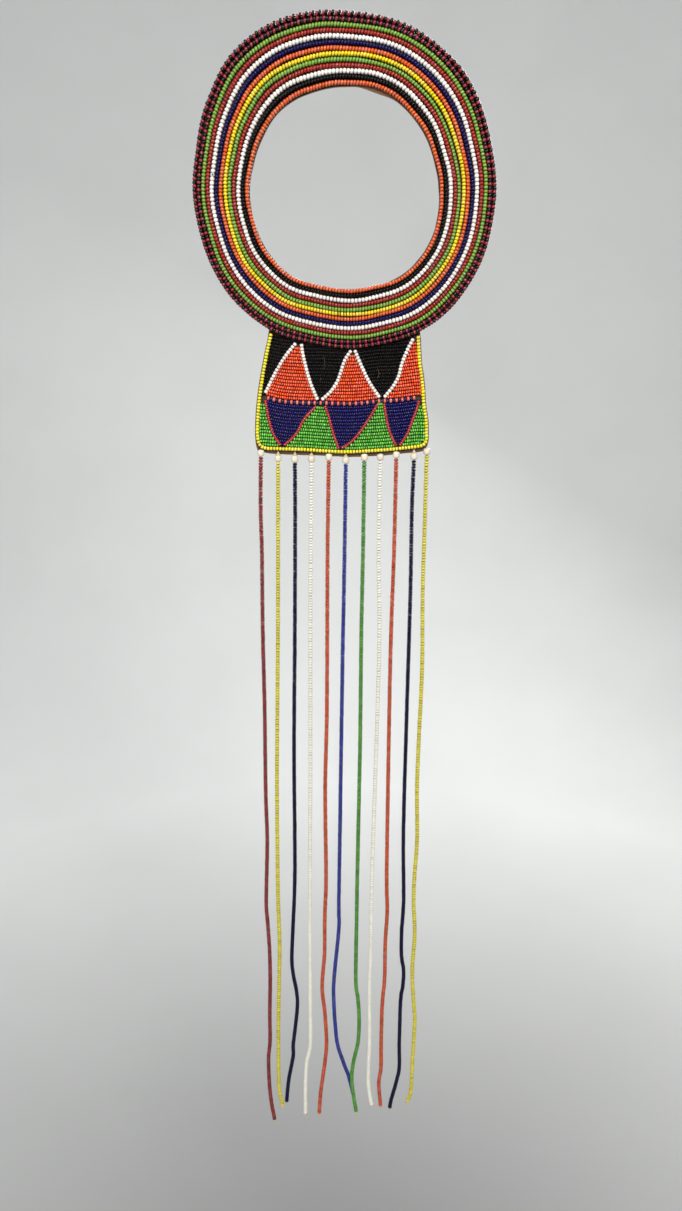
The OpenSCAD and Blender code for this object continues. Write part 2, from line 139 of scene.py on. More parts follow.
# Strands: glass, the width of the knot and the length of its loose ends in mm, and the
# route below the head bead as x, depth behind the head beads' middles and z in mm
STRANDS = [
    ("red", 1.9, 2.2, [
        (-64.2, 0.4, -308), (-63.5, 0.9, -340), (-63.2, 0.4, -405), (-62, -0.4, -472),
        (-61.6, -0.9, -541), (-60.6, 0, -586), (-61.9, 1.1, -641), (-60.7, 0.3, -662),
        (-59.2, -0.5, -686), (-58.8, 0, -716), (-59.4, 0.9, -746), (-59.3, 0.2, -775),
        (-60.6, -0.6, -790), (-60.2, 0, -814), (-58.6, 0.8, -835), (-55.9, 0.4, -851)]),
    ("yellow", 3.2, 1.6, [
        (-50.5, -0.5, -330), (-50.9, 0.3, -405), (-51.7, 0.8, -475), (-52.2, 0.2, -541),
        (-51.7, -0.8, -632), (-50.5, -0.2, -679), (-51.3, 0.7, -730), (-51.9, 0.1, -773),
        (-51.6, -0.6, -812), (-50.4, -0.3, -828), (-48.8, 0, -836)]),
    ("navy", 1.4, 0, [
        (-36.9, 0.5, -308), (-37.2, 0.9, -405), (-37.9, 0.1, -506), (-37.2, -0.9, -612),
        (-39, -0.3, -667), (-40, 0.6, -697), (-38.4, 1, -713), (-35.7, 0.5, -728),
        (-35.3, -0.3, -744), (-38.7, -0.8, -777), (-38.8, 0, -789), (-42.8, 0.6, -813),
        (-44.6, 0.8, -833)]),
    ("white", 1.9, 2.8, [
        (-24.5, -0.5, -330), (-24.5, -0.8, -404), (-24.3, 0.3, -530), (-24.5, 0.9, -649),
        (-23.9, 0, -730), (-23.8, -0.8, -777), (-26.8, -0.2, -795), (-28, 0.5, -819),
        (-27.9, 0.2, -844)]),
    ("orange", 2.0, 1.6, [
        (-11.1, 0.4, -339), (-10.9, 0.9, -471), (-11.9, 0.1, -540), (-10.7, -0.8, -619),
        (-11.6, -0.2, -654), (-11.7, 0.6, -691), (-13.4, 0.9, -715), (-13.3, 0.4, -728),
        (-11.1, -0.4, -746), (-9.4, -0.8, -776), (-11.3, 0, -800), (-14.3, 0.5, -825),
        (-15.4, 0.2, -844)]),
    ("blue", 1.6, 0, [
        (2.5, -0.4, -339), (1.6, -0.9, -437), (1, 0, -540), (0.4, 0.8, -642),
        (0.8, 0.3, -661), (-0.4, -0.5, -679), (-3.2, -0.9, -713), (-3.4, 0, -733),
        (-0.4, 1.2, -774), (5.2, 3, -796), (10.4, 4.4, -812), (14, 4.6, -827)]),
    ("green", 2.6, 3.2, [
        (17.2, 0.5, -339), (16.7, 0.9, -404), (16.8, 0, -505), (16.1, -0.8, -585),
        (15.8, -0.3, -654), (15.7, 0.5, -714), (17.8, 0.6, -733), (19.1, 0, -752),
        (18.4, -0.4, -774), (14.6, -0.5, -794), (13.2, -0.4, -810), (14.8, -0.3, -827),
        (17.2, 0, -842)]),
    ("white", 1.2, 0, [
        (29.6, -0.5, -339), (31.3, -0.9, -404), (30.8, 0, -471), (29.7, 0.8, -540),
        (28.4, 0.2, -619), (28.3, -0.6, -690), (27.7, -0.1, -721), (28.5, 0.7, -772),
        (27.9, 0.3, -800), (28.3, -0.4, -819), (30.8, 0, -835)]),
    ("orange", 1.6, 1.2, [
        (41.9, 0.5, -339), (40.8, 0.9, -404), (40.5, 0.1, -471), (40.8, -0.9, -611),
        (41.9, -0.3, -648), (40.8, 0.5, -678), (40.8, 0.9, -714), (39.1, 0.2, -739),
        (38.8, -0.6, -776), (39, -0.2, -800), (37.4, 0.4, -815), (39, 0.2, -836)]),
    ("navy", 1.9, 2.4, [
        (55.3, -0.4, -307), (55.6, -0.9, -371), (54.9, 0, -470), (54.4, 0.9, -575),
        (55.8, 0.3, -640), (54.7, -0.3, -666), (54.9, -0.8, -690), (57.1, -0.2, -705),
        (56.8, 0.5, -721), (55.2, 0.9, -734), (54.8, 0.1, -776), (55.2, -0.6, -799),
        (52.7, 0, -815), (49, 0.5, -831), (47.8, 0.3, -838)]),
    ("yellow", 3.0, 3.0, [
        (65.9, 0.4, -307), (65.6, 0.8, -371), (66.6, 0.2, -436), (65.2, -0.6, -500),
        (64.8, -0.9, -540), (66, 0, -584), (64.6, 0.8, -620), (64.4, 0.3, -643),
        (66, -0.5, -671), (64.6, -0.9, -705), (66.8, -0.2, -739), (68.1, 0.6, -754),
        (67.2, 0.9, -782), (66.1, 0.1, -822), (63.9, 0, -831)]),
]
# Loose fibres that lie on the panel's beads, as x and z in mm
FIBRES = [
    [(-52.6, -232.4), (-50.3, -233.3), (-47.4, -233.2), (-45.6, -234.6)],
    [(-53.8, -236.2), (-50.6, -236), (-48.8, -236.8)],
    [(10.8, -191.6), (13.4, -192.4), (16.2, -192)],
    [(-15.2, -190), (-14.2, -194.4), (-15, -198.6)],
    [(26.6, -199), (27.8, -202.2), (26.9, -205.4)],
    [(-17.4, -205.8), (-16.6, -207.6)],
]

# Half sections of a seed bead, a rounder bead, a stitch and a head bead, as loops of the share of
# the length along the axis and the share of the width out from it, and how far the points of each
# but the stitch lie towards the hole, which sets how much painted shade darkens them
SEED_SECTION = np.array([(-0.5, 0.16), (-0.44, 0.43), (0, 0.5), (0.44, 0.43), (0.5, 0.16)])
SEED_INNER = np.array([1, 0.4, 0, 0.4, 1])
ROUND_SECTION = np.array([(-0.5, 0.14), (-0.41, 0.42), (0, 0.5), (0.41, 0.42), (0.5, 0.14)])
ROUND_INNER = np.array([1, 0.6, 0, 0.6, 1])
STITCH_SECTION = np.array([(-0.5, 0.04), (-0.36, 0.4), (0, 0.5), (0.36, 0.4), (0.5, 0.04)])
HEAD_SECTION = np.array([
    (-0.46, 0.1), (-0.49, 0.2), (-0.47, 0.33), (-0.39, 0.43), (-0.24, 0.49), (0, 0.5),
    (0.24, 0.49), (0.39, 0.43), (0.47, 0.33), (0.49, 0.2), (0.46, 0.1), (0, 0.095)])
HEAD_INNER = np.array([0.6, 0.25, 0.05, 0, 0, 0, 0, 0, 0.05, 0.25, 0.6, 1])

# Mean distance between a ring row's beads and its swing between the ring's bottom and its
# sides, in mm: for white beads and for the others
WHITE_PITCH, SEED_PITCH = (2.78, 0.11), (2.43, 0.14)
# The ring's beads against their tubes: how much wider they are, how much more where the
# band is wide, and the share by which it is wider there
BEAD_SNUG, BEAD_GROWTH, BAND_SPREAD = 1.04, 0.19, 0.3
# How ring rows waver: each row's own waves round the ring, those that all rows share with
# where they start, and the height of both in mm
OWN_WAVES, SHARED_WAVES, WAVE_HEIGHTS = (5, 9, 16), ((7, 1), (12, 2.5)), (0.09, 0.18)
# The ring's row that is squeezed at one side, the middle and half span of that stretch in
# degrees, the share of their width that its beads lose and how far they move in, in mm
SQUEEZED_ROW, SQUEEZE_AT, SQUEEZE_SPAN, SQUEEZE, SQUEEZE_IN = 4, 248, 60, 0.25, 0.5
# How far the last row's pink and black beads stand out at the ring's top, in mm
EDGE_STAGGER = (-0.15, 0.45)
# Beads of the ring that are shorter than their row's, as row, angle and share left
SHORT_BEADS = [(1, 64, 0.35), (5, 2, 0.45), (5, 359, 0.6), (3, 150, 0.6), (10, 140, 0.6)]
# The bead of the ring that has turned its hole to the front: row, angle, direction of its
# hole and share of its length left
TURNED_BEAD = (8, 95, (0.3, -1.0, -0.2), 0.8)
# Where the ring's last row gains beads on the one before it, as angles and beads: the
# two are in step where the gain is even and make a chequer where it is odd
EDGE_LEAD = ([0, 15, 32, 50, 70, 78, 88, 102, 116, 360], [0, 0, 1, 1, 2, 2, 3, 3, 4, 4])
# How far the ring's beads lean on their thread, by angle round the ring in degrees, and
# how much more or less by turns along a row
BEAD_LEAN = ([0, 30, 60, 90, 115, 150, 210, 235, 265, 300, 325, 345, 360],
             [-4, 2, 10, 20, 25, 22, 24, 18, 4, 4, 14, 20, -4])
LEAN_SWING = 4
# The leather tongue in the opening: its middle and half span in degrees
TONGUE_AT, TONGUE_SPAN = 199, 14

# Distances between the beads of the panel's strings, in mm, and how far white and red
# strings run past their routes' ends
BORDER_PITCH, BELT_PITCH, WHITE_STRING_PITCH, RED_STRING_PITCH = 2.4, 2.25, 2.6, 1.6
STRING_PAST, BORDER_PAST = 1.6, 0.8
# Rows of the panel's fields in mm: from row to row, from the string they start at, from
# bead to bead, the longest bead, and the steps in which a row is followed
FIELD_ROW, FIELD_START, FIELD_PITCH, FIELD_BEAD, FIELD_STEP = 2.5, 0.12, 1.74, 1.9, 0.1
# How far outside the middle of the ring's last row the fields' beads may begin, in mm
RIM_ROOM = 0.5
# Most rows in a field, how far they are followed to each side in mm, and against the small
# beads' width: the width of a field's bead and the room that it keeps to a string
FIELD_ROWS, FIELD_REACH, FIELD_SNUG, FIELD_ROOM = 22, 68, 0.97, 0.3
# Shares of the panel's width and height over which its leather is rounded at the edges,
# those in which it shows beside the beads, and the depth of the nicks in its hem in mm
ROUND_SHARE, BARE_SHARE, HEM_NICK = (0.005, 0.006), (0.012, 0.03), 0.16

# How far sewn beads stray, as shares of their own size: in place, in length and in width
PLACE_PLAY, LENGTH_PLAY, WIDTH_PLAY = 0.012, 0.035, 0.018
# How far head beads tilt sideways and forwards, how much their height and width vary, and
# how many sides they have
HEAD_TILT, HEAD_PLAY, HEAD_SIDES = (0.05, 0.03), (0.02, 0.015), 28
# The gap between a head bead and its string, and how far a strand runs past its route, in mm
HEAD_GAP, STRAND_PAST = 0.25, 2.2
# A knot's length, how far down it the loose ends leave it and their radius, in mm, and how
# far each of the two ends leans
KNOT_LENGTH, ENDS_FROM, END_RADIUS, END_LEANS = 2.4, 1.5, 0.17, (-0.8, 0.5)

# Stitches on the back in mm: distance apart, length and width behind the ring's rows and
# behind the panel, and length and width in the seam where the two lap
RING_STITCH, PANEL_STITCH, LAP_STITCH = (6.4, 3.6, 0.5), (6.2, 3.4, 0.45), (4.6, 0.7)
# The panel's stitches: highest and lowest row and step from row to row, and left and
# right end of a row, in mm
STITCH_LEVELS, STITCH_SPAN = (-176, -258, -5.05), (-56, 57)
# The lap's half width and its lower end in metres, how far inside the last row its seam
# lies in mm, and the seam's half span and step in degrees
LAP_HALF, LAP_LOW, LAP_SEAM, LAP_SPAN, LAP_STEP = 0.06, -0.155, 9, 27, 3.0
# Clearance of a stitch's middle from the leather and radius of the loose fibres, in mm
STITCH_SEAT, FIBRE_RADIUS = 0.08, 0.032

# Glass that isn't named like the beads it makes: in the panel's fields and in the strands
FIELD_GLASS = {"navy": "indigo"}
STRAND_GLASS = {"red": "wine", "yellow": "lemon", "navy": "ink", "white": "pearl",
                "orange": "rust", "blue": "royal", "green": "grass"}
# How far the beads of a glass differ in shade, how strongly painted shade darkens it towards the
# hole and where beads meet, and how much it mirrors, each with the value of the glasses that
# aren't listed
SHADE_SPREAD = {"orange": 0.45, "indigo": 0.5, "green": 0.75, "wine": 0.6, "lemon": 0.25,
                "ink": 0.6, "pearl": 0.12, "rust": 0.4, "royal": 0.6, "grass": 0.5,
                "cream": 0.12, None: 0.24}
HOLE_SHADE = {"white": 0.5, "pearl": 0.35, "yellow": 0.75, "amber": 0.8, "leaf": 0.95,
              "primrose": 0.8, "cream": 0.6, None: 0.85}
MIRROR = {"black": 0.16, "ink": 0.12, "navy": 0.2, "indigo": 0.3, None: 0.36}

# The camera: its focal length and the picture's height in pixels, its sensor in mm, its
# place, and in degrees how far it is tipped up from straight down and rolled
FOCAL_PIXELS, PICTURE_PIXELS, SENSOR = 880, 1211, 36
CAMERA_PLACE, CAMERA_TIP, CAMERA_ROLL = (0, -0.6972, -0.2608), 80, 0.5
# The floor in metres: its height, where it has curved up, the radius of that curve, how
# far up it goes on and how far it reaches to each side
FLOOR_Z, RISE_Y, CURVE, RISE, FLOOR_REACH = -1.25, 2.2, 0.9, 3.5, 14.0
# Soft lights: name, place, size in metres, power in watts and colour, and their aim
LIGHTS = [("key", (0.5, -1.7, 0.9), 0.7, 52, (1.0, 0.99, 0.97)),
          ("fill", (-1.2, -1.5, 0.1), 1.0, 20, (0.98, 0.99, 1.0)),
          ("back", (0.6, 1.5, 0.7), 1.2, 32, (1.0, 1.0, 1.0))]
LIGHT_AIM = (0, 0, -0.35)
SKY_COLOUR, SKY_POWER = (0.97, 0.98, 1.0, 1), 0.34

# Kinds of socket, and the outputs of a finish's node group
FLOAT, COLOUR = "NodeSocketFloat", "NodeSocketColor"
FINISH = {"Color": COLOUR, "Roughness": FLOAT, "Height": FLOAT}
# Colour of the painted shade deep in a bead's hole and where beads meet, and tone of the painted
# shade on the leather under beads
HOLE_PAINTED_SHADE, COVER_PAINTED_SHADE = (0.006, 0.004, 0.003, 1), (0.16, 0.13, 0.12, 1)
# Values kept on the points of beads, of thread and of leather, which their materials read
BEAD_VALUES, THREAD_VALUES = ("tint", "swap", "inner"), ("tint", "swap")
HIDE_VALUES = ("cut", "nap", "cover")


def length_of(name, text, mm):
    """A length property, its default given in millimetres."""
    return bpy.props.FloatProperty(
        name=name, description=text, default=mm * MM, min=0, unit="LENGTH", precision=5)


def colour_of(name, text, red, green, blue):
    """A colour property, its default given as display values and kept as linear ones."""
    shown = np.array([red, green, blue])
    linear = np.where(shown > 0.04045, ((shown + 0.055) / 1.055) ** 2.4, shown / 12.92)
    return bpy.props.FloatVectorProperty(
        name=name, description=text, default=linear, size=3, min=0, max=1, subtype="COLOR")


class CollarSizes(bpy.types.PropertyGroup):
    """Sizes of the collar's beads, leather and threads."""

    neck_d: length_of("Neck opening", "Diameter of the neck opening", 138)
    band_w: length_of("Band", "Least width of the band between first and last rows", 38.2)
    seed_d: length_of("Seed bead", "Diameter of the common seed beads", 2.9)
    white_d: length_of("White bead", "Diameter of the ring's white beads", 3.15)
    fine_d: length_of("Fine bead", "Diameter of the panel's small beads", 2.3)
    belt_d: length_of("Belt bead", "Diameter of the beads in the panel's belt", 3.4)
    seat: length_of("Seat", "Clearance between beads and the leather", 0.15)
    ring_t: length_of("Ring leather", "Thickness of the ring's leather", 2.2)
    panel_t: length_of("Panel leather", "Thickness of the panel's leather", 1.8)
    lip_w: length_of("Lip", "Width of leather inside the first row", 0.6)
    rim_w: length_of("Rim", "Width of leather past the middle of the last row", 0.4)
    tongue_w: length_of("Tongue", "Extra width of the leather tongue in the opening", 1.8)
    dish: length_of("Dish", "How far the outer rim lies behind the inner edge", 3)
    head_d: length_of("Head bead", "Diameter of the bead at the head of a strand", 5.5)
    head_h: length_of("Head height", "Height of the bead at the head of a strand", 5.2)
    head_room: length_of("Head room", "Depth left for the head beads", 6.4)
    strand_d: length_of("Strand bead", "Diameter of the strands' beads", 3.7)
    strand_pitch: length_of("Strand pitch", "Distance between beads on a strand", 2.2)
    thread_d: length_of("Thread", "Diameter of the thread", 0.7)


class CollarColours(bpy.types.PropertyGroup):
    """Colours of the collar's glass, leather and thread."""

    amber: colour_of("Amber", "Orange glass of the ring", 0.80, 0.33, 0.13)
    orange: colour_of("Orange", "Orange glass of the panel", 0.94, 0.305, 0.105)
    black: colour_of("Black", "Black glass", 0.012, 0.012, 0.016)
    white: colour_of("White", "White glass", 0.88, 0.85, 0.82)
    red: colour_of("Red", "Brick red glass", 0.57, 0.125, 0.08)
    leaf: colour_of("Leaf green", "Yellowish green glass of the ring", 0.445, 0.61, 0.225)
    green: colour_of("Green", "Green glass of the panel", 0.36, 0.70, 0.22)
    yellow: colour_of("Yellow", "Yellow glass", 0.88, 0.765, 0.06)
    navy: colour_of("Navy", "Navy glass", 0.05, 0.02, 0.26)
    indigo: colour_of("Indigo", "Navy glass of the panel", 0.065, 0.05, 0.36)
    rose: colour_of("Rose red", "Red glass of the panel's outlines", 0.70, 0.19, 0.20)
    primrose: colour_of("Primrose", "Yellow glass of the panel's border", 0.87, 0.82, 0.13)
    pink: colour_of("Pink red", "Pink-red glass of the ring's edge", 0.52, 0.13, 0.165)
    coral: colour_of("Coral", "Pink-orange glass of the belt", 0.84, 0.38, 0.32)
    cream: colour_of("Cream", "Cream glass of the head beads", 0.80, 0.76, 0.68)
    wine: colour_of("Wine red", "Dark red glass of a strand", 0.50, 0.10, 0.10)
    lemon: colour_of("Lemon", "Lemon yellow glass of two strands", 0.83, 0.78, 0.24)
    ink: colour_of("Ink", "Dark navy glass of two strands", 0.025, 0.015, 0.19)
    pearl: colour_of("Pearl", "White glass of two strands", 0.86, 0.85, 0.80)
    rust: colour_of("Rust", "Dull orange glass of two strands", 0.74, 0.28, 0.12)
    royal: colour_of("Royal blue", "Blue glass of a strand", 0.07, 0.14, 0.52)
    grass: colour_of("Grass", "Deep green glass of a strand", 0.29, 0.55, 0.17)
    hide: colour_of("Hide", "Grain side of the leather", 0.33, 0.22, 0.14)
    cut: colour_of("Cut edge", "Cut edge of the leather", 0.60, 0.46, 0.31)
    thread: colour_of("Thread", "Cotton thread", 0.76, 0.68, 0.54)
    floor: colour_of("Floor", "Floor of the stage", 0.88, 0.885, 0.88)


def unit(vectors):
    """Each vector divided by its own length."""
    return vectors / np.linalg.norm(vectors, axis=-1, keepdims=True)


def seeded(name):
    """A random generator whose seed is the name's checksum."""
    return np.random.default_rng(zlib.crc32(name.encode()))


def catmull_rom(a, b, c, d, t):
    """Curve from b to c as t goes from 0 to 1, with a before and d after: half of
    2b + (c - a)t + (2a - 5b + 4c - d)t^2 + (3b - a - 3c + d)t^3."""
    return 0.5 * (2 * b + (c - a) * t + (2 * a - 5 * b + 4 * c - d) * t**2
                  + (3 * b - a - 3 * c + d) * t**3)


def smooth_route(points, steps=10):
    """Catmull-Rom curve through the points, with so many steps from each to the next."""
    p = np.asarray(points, float)
    p = np.vstack([p[:1], p, p[-1:]])
    t = (np.arange(steps) / steps)[None, :, None]
    curve = catmull_rom(p[:-3, None], p[1:-2, None], p[2:-1, None], p[3:, None], t)
    return np.vstack([curve.reshape(-1, p.shape[1]), p[-1:]])


def arc_of(route):
    """Distance along a route at each of its points."""
    steps = np.linalg.norm(np.diff(route, axis=0), axis=1)
    return np.concatenate([[0], np.cumsum(steps)])


def point_at(route, s):
    """Points at distances s along a route."""
    arc = arc_of(route)
    return np.stack([np.interp(s, arc, column) for column in route.T], axis=-1)


def lengthened(route, start, end):
    """A route drawn out straight by the given lengths past its first and last points."""
    head = route[0] + unit(route[0] - route[1]) * start
    tail = route[-1] + unit(route[-1] - route[-2]) * end
    return np.vstack([head, route[1:-1], tail])


def strung(route, pitch):
    """Middles, directions and spacing of beads strung along a route, as many as fit."""
    total = arc_of(route)[-1]
    count = max(int(round(total / pitch)), 1)
    step = total / count
    s = (np.arange(count) + 0.5) * step
    near = 0.3 * step
    return point_at(route, s), unit(point_at(route, s + near) - point_at(route, s - near)), step


def grid_quads(rows, columns, wrap_rows=False, wrap_columns=True):
    """Quads between neighbouring rows and columns of a grid of points."""
    r = np.arange(rows if wrap_rows else rows - 1)[:, None]
    c = np.arange(columns if wrap_columns else columns - 1)[None, :]
    r2, c2 = (r + 1) % rows, (c + 1) % columns
    corners = [r * columns + c, r * columns + c2, r2 * columns + c2, r2 * columns + c]
    return np.stack(corners, axis=-1).reshape(-1, 4)


def spokes(axis, turn):
    """Directions square to each axis: cos t * across + sin t * over at turns t, where
    across stands square to the axis and the depth, and over square to both."""
    across = unit(np.cross(axis, [0.0, 1.0, 0.0]))
    over = np.cross(axis, across)
    return np.cos(turn)[..., None] * across[:, None] + np.sin(turn)[..., None] * over[:, None]


def bead_skins(place, axis, length, width, section, inner, sides, rng, swap=0.0):
    """Skins of many beads at once. Each is a closed loop of (along, out) pairs turned
    round the bead's axis: place + along * length * axis + out * width * spoke."""
    count, rings = len(place), len(section)
    spoke = spokes(axis, 2 * np.pi * (np.arange(sides) + rng.random((count, 1))) / sides)
    along = (section[:, 0] * np.reshape(length, (-1, 1)))[..., None, None]
    out = (section[:, 1] * np.reshape(width, (-1, 1)))[..., None, None]
    points = place[:, None, None] + along * axis[:, None, None] + out * spoke[:, None]
    each = rings * sides
    quads = grid_quads(rings, sides, wrap_rows=True) + np.arange(count)[:, None, None] * each
    return {
        "points": points.reshape(-1, 3),
        "quads": quads.reshape(-1, 4),
        "tint": np.repeat(rng.random(count), each),
        "swap": np.repeat(np.broadcast_to(swap, count).astype(float), each),
        "inner": np.tile(np.repeat(inner, sides), count),
    }


def sewn_beads(place, axis, step, width, rng, section=SEED_SECTION, inner=SEED_INNER,
               sides=10, swap=0.0, fill=0.955, play=0.03):
    """Seed beads in their places, each a little off in size, tilt and height."""
    count = len(place)
    step, width = np.broadcast_to(step, count), np.broadcast_to(width, count)
    lean = rng.normal(0, play, (count, 3))
    shift = rng.normal(0, PLACE_PLAY, (count, 3)) * width[:, None]
    return bead_skins(
        place + shift, unit(axis + lean), step * fill * rng.normal(1, LENGTH_PLAY, count),
        width * rng.normal(1, WIDTH_PLAY, count), section, inner, sides, rng, swap)


def tube_skin(route, radii, sides=6):
    """A tube with closed ends: each route point + radius * spoke, square to the route.
    Each flat end is made of quads that share one corner."""
    along = unit(np.vstack([route[1:], route[-1:]]) - np.vstack([route[:1], route[:-1]]))
    turn = 2 * np.pi * np.arange(sides) / sides
    points = route[:, None] + np.reshape(radii, (-1, 1, 1)) * spokes(along, turn[None])
    fan = np.arange(1, sides - 2, 2)[:, None] + np.arange(3)
    fan = np.hstack([np.zeros((len(fan), 1), int), fan])
    last = (len(route) - 1) * sides
    return {
        "points": points.reshape(-1, 3),
        "quads": np.vstack([grid_quads(len(route), sides), fan[:, ::-1], fan + last]),
        "tint": np.repeat(arc_of(route) / MM, sides),
        "swap": np.tile(np.arange(sides) / sides, len(route)),
    }


def new_mesh(name, parts, values):
    """One mesh from parts of points and quads, each part with its own material index and
    with the named values on its points, zero where a part has none."""
    counts = [len(part["points"]) for part in parts]
    starts = np.cumsum([0, *counts[:-1]])
    points = np.vstack([part["points"] for part in parts])
    quads = np.vstack([part["quads"] + start for part, start in zip(parts, starts)])
    index = np.concatenate(
        [np.full(len(part["quads"]), part.get("material", 0)) for part in parts])
    mesh = bpy.data.meshes.new(name)
    mesh.vertices.add(len(points))
    mesh.vertices.foreach_set("co", points.astype(np.float32).ravel())
    mesh.loops.add(quads.size)
    mesh.loops.foreach_set("vertex_index", quads.astype(np.int32).ravel())
    mesh.polygons.add(len(quads))
    mesh.polygons.foreach_set("loop_start", np.arange(0, quads.size, 4, dtype=np.int32))
    mesh.polygons.foreach_set("material_index", index.astype(np.int32))
    mesh.update(calc_edges=True)
    mesh.polygons.foreach_set("use_smooth", np.ones(len(quads), bool))
    for title in values:
        numbers = np.concatenate(
            [part.get(title, np.zeros(count)) for part, count in zip(parts, counts)])
        layer = mesh.attributes.new(title, "FLOAT", "POINT")
        layer.data.foreach_set("value", numbers.astype(np.float32))
    if mesh.validate():
        raise RuntimeError(f"{name} has faces that Blender had to mend")
    return mesh


def add_piece(name, parts, materials, nodes=(), values=BEAD_VALUES):
    """Makes a piece of the collar, lets it ride on the frame and stand for its nodes."""
    obj = bpy.data.objects.new(name, new_mesh(name, parts, values))
    bpy.context.scene.collection.objects.link(obj)
    for material in materials:
        obj.data.materials.append(material)
    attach(obj, "root")
    if nodes:
        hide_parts(*nodes)


def add_beads(node, skins, material):
    """Makes the piece of beads that stands for one node and is named for it."""
    add_piece(f"{node}_beads", skins, [material], [node])


def row_width(index, sizes):
    """Diameter of the beads in a row of the ring."""
    return sizes.white_d if ROWS[index][1] == "white" else sizes.seed_d


def rim_shape(angle, sizes):
    """Radius of the ring's first row and width of its band at angles in degrees: the
    Catmull-Rom curve through RIM, closed round the circle."""
    table = np.asarray(RIM, float) * MM
    table = table + [sizes.neck_d / 2 + sizes.lip_w + sizes.seed_d / 2, sizes.band_w]
    u = np.asarray(angle, float) * len(RIM) / 360
    k = np.floor(u).astype(int)
    a, b, c, d = (table[(k + j) % len(RIM)] for j in (-1, 0, 1, 2))
    shape = catmull_rom(a, b, c, d, (u - k)[..., None])
    return shape[..., 0], shape[..., 1]


def row_radius(index, angle, sizes):
    """Radius of a row's middle: the band shared out by the beads' diameters."""
    widths = np.array([row_width(i, sizes) for i in range(len(ROWS))])
    across = np.concatenate([[0], np.cumsum((widths[1:] + widths[:-1]) / 2)])
    first, band = rim_shape(angle, sizes)
    return first + band * across[index] / across[-1]


def ring_point(angle, radius, depth, sizes):
    """Place of a ring point: down at 0 degrees and to the viewer's left at 90, at a depth
    from the middle of the leather, which the dish sets back towards the rim."""
    first, band = rim_shape(angle, sizes)
    a = np.radians(angle)
    y = depth + sizes.dish * (radius - first) / band
    z = -sizes.neck_d / 2 - radius * np.cos(a)
    return np.stack(np.broadcast_arrays(-radius * np.sin(a), y, z), axis=-1)


def row_axis(index, angle, depth, sizes):
    """Direction of a row at angles, between its points just past and just before them."""
    near = 0.2
    ahead, behind = (ring_point(at, row_radius(index, at, sizes), depth, sizes)
                     for at in (angle + near, angle - near))
    return unit(ahead - behind)


def panel_depth(sizes):
    """Depth of the front face of the panel's leather."""
    return sizes.dish + sizes.ring_t / 2 + sizes.seat


def strand_depth(sizes):
    """Depth of the middles of the head beads and strands."""
    return panel_depth(sizes) - sizes.seat - sizes.head_room / 2


def on_panel(points, depth):
    """Points of x and z in millimetres as places in metres at one depth."""
    points = np.asarray(points, float) * MM
    return np.stack([points[:, 0], np.full(len(points), depth), points[:, 1]], axis=-1)


def add_node(tree, kind, inputs=None, **settings):
    """Adds a node, sets its properties, and sets or links its inputs."""
    node = tree.nodes.new(kind)
    for key, value in settings.items():
        setattr(node, key, value)
    for key, value in (inputs or {}).items():
        if isinstance(value, bpy.types.NodeSocket):
            tree.links.new(value, node.inputs[key])
        else:
            node.inputs[key].default_value = value
    return node


def ranged(tree, value, low, high, start=0.0, end=1.0):
    """Value mapped from start..end to low..high and held there."""
    keys = {"Value": value, "From Min": start, "From Max": end, "To Min": low, "To Max": high}
    return add_node(tree, "ShaderNodeMapRange", keys).outputs["Result"]


def maths(tree, operation, first, second=0.0):
    """A Math node's value."""
    node = add_node(tree, "ShaderNodeMath", {0: first, 1: second}, operation=operation)
    return node.outputs[0]


def mixed(tree, factor, first, second, blend="MIX"):
    """Two colours mixed by a factor."""
    keys = {0: factor, 6: first, 7: second}
    return add_node(tree, "ShaderNodeMix", keys, data_type="RGBA",
                    blend_type=blend).outputs[2]


def toned(tree, colour, tone):
    """A colour multiplied by a tone."""
    return mixed(tree, 1.0, colour, tone, "MULTIPLY")


def noise(tree, scale, detail=2.0, kind="ShaderNodeTexNoise"):
    """A noise in the piece's own coordinates, its scale in cells to the metre."""
    place = add_node(tree, "ShaderNodeTexCoord").outputs["Object"]
    keys = {"Vector": place, "Scale": scale}
    if kind == "ShaderNodeTexNoise":
        keys["Detail"] = detail
    return add_node(tree, kind, keys).outputs[0]


def new_group(name, colours, numbers):
    """A shader node group with the named inputs, whose outputs are those of a finish."""
    tree = bpy.data.node_groups.new(name, "ShaderNodeTree")
    for title in (*colours, *numbers):
        kind = COLOUR if title in colours else FLOAT
        tree.interface.new_socket(name=title, in_out="INPUT", socket_type=kind)
    for title, kind in FINISH.items():
        tree.interface.new_socket(name=title, in_out="OUTPUT", socket_type=kind)
    return tree, tree.nodes.new("NodeGroupInput").outputs, tree.nodes.new("NodeGroupOutput")


def finished(tree, made, *results):
    """The group with its colour, roughness and height linked to its outputs."""
    for title, result in zip(FINISH, results):
        tree.links.new(result, made.inputs[title])
    return tree


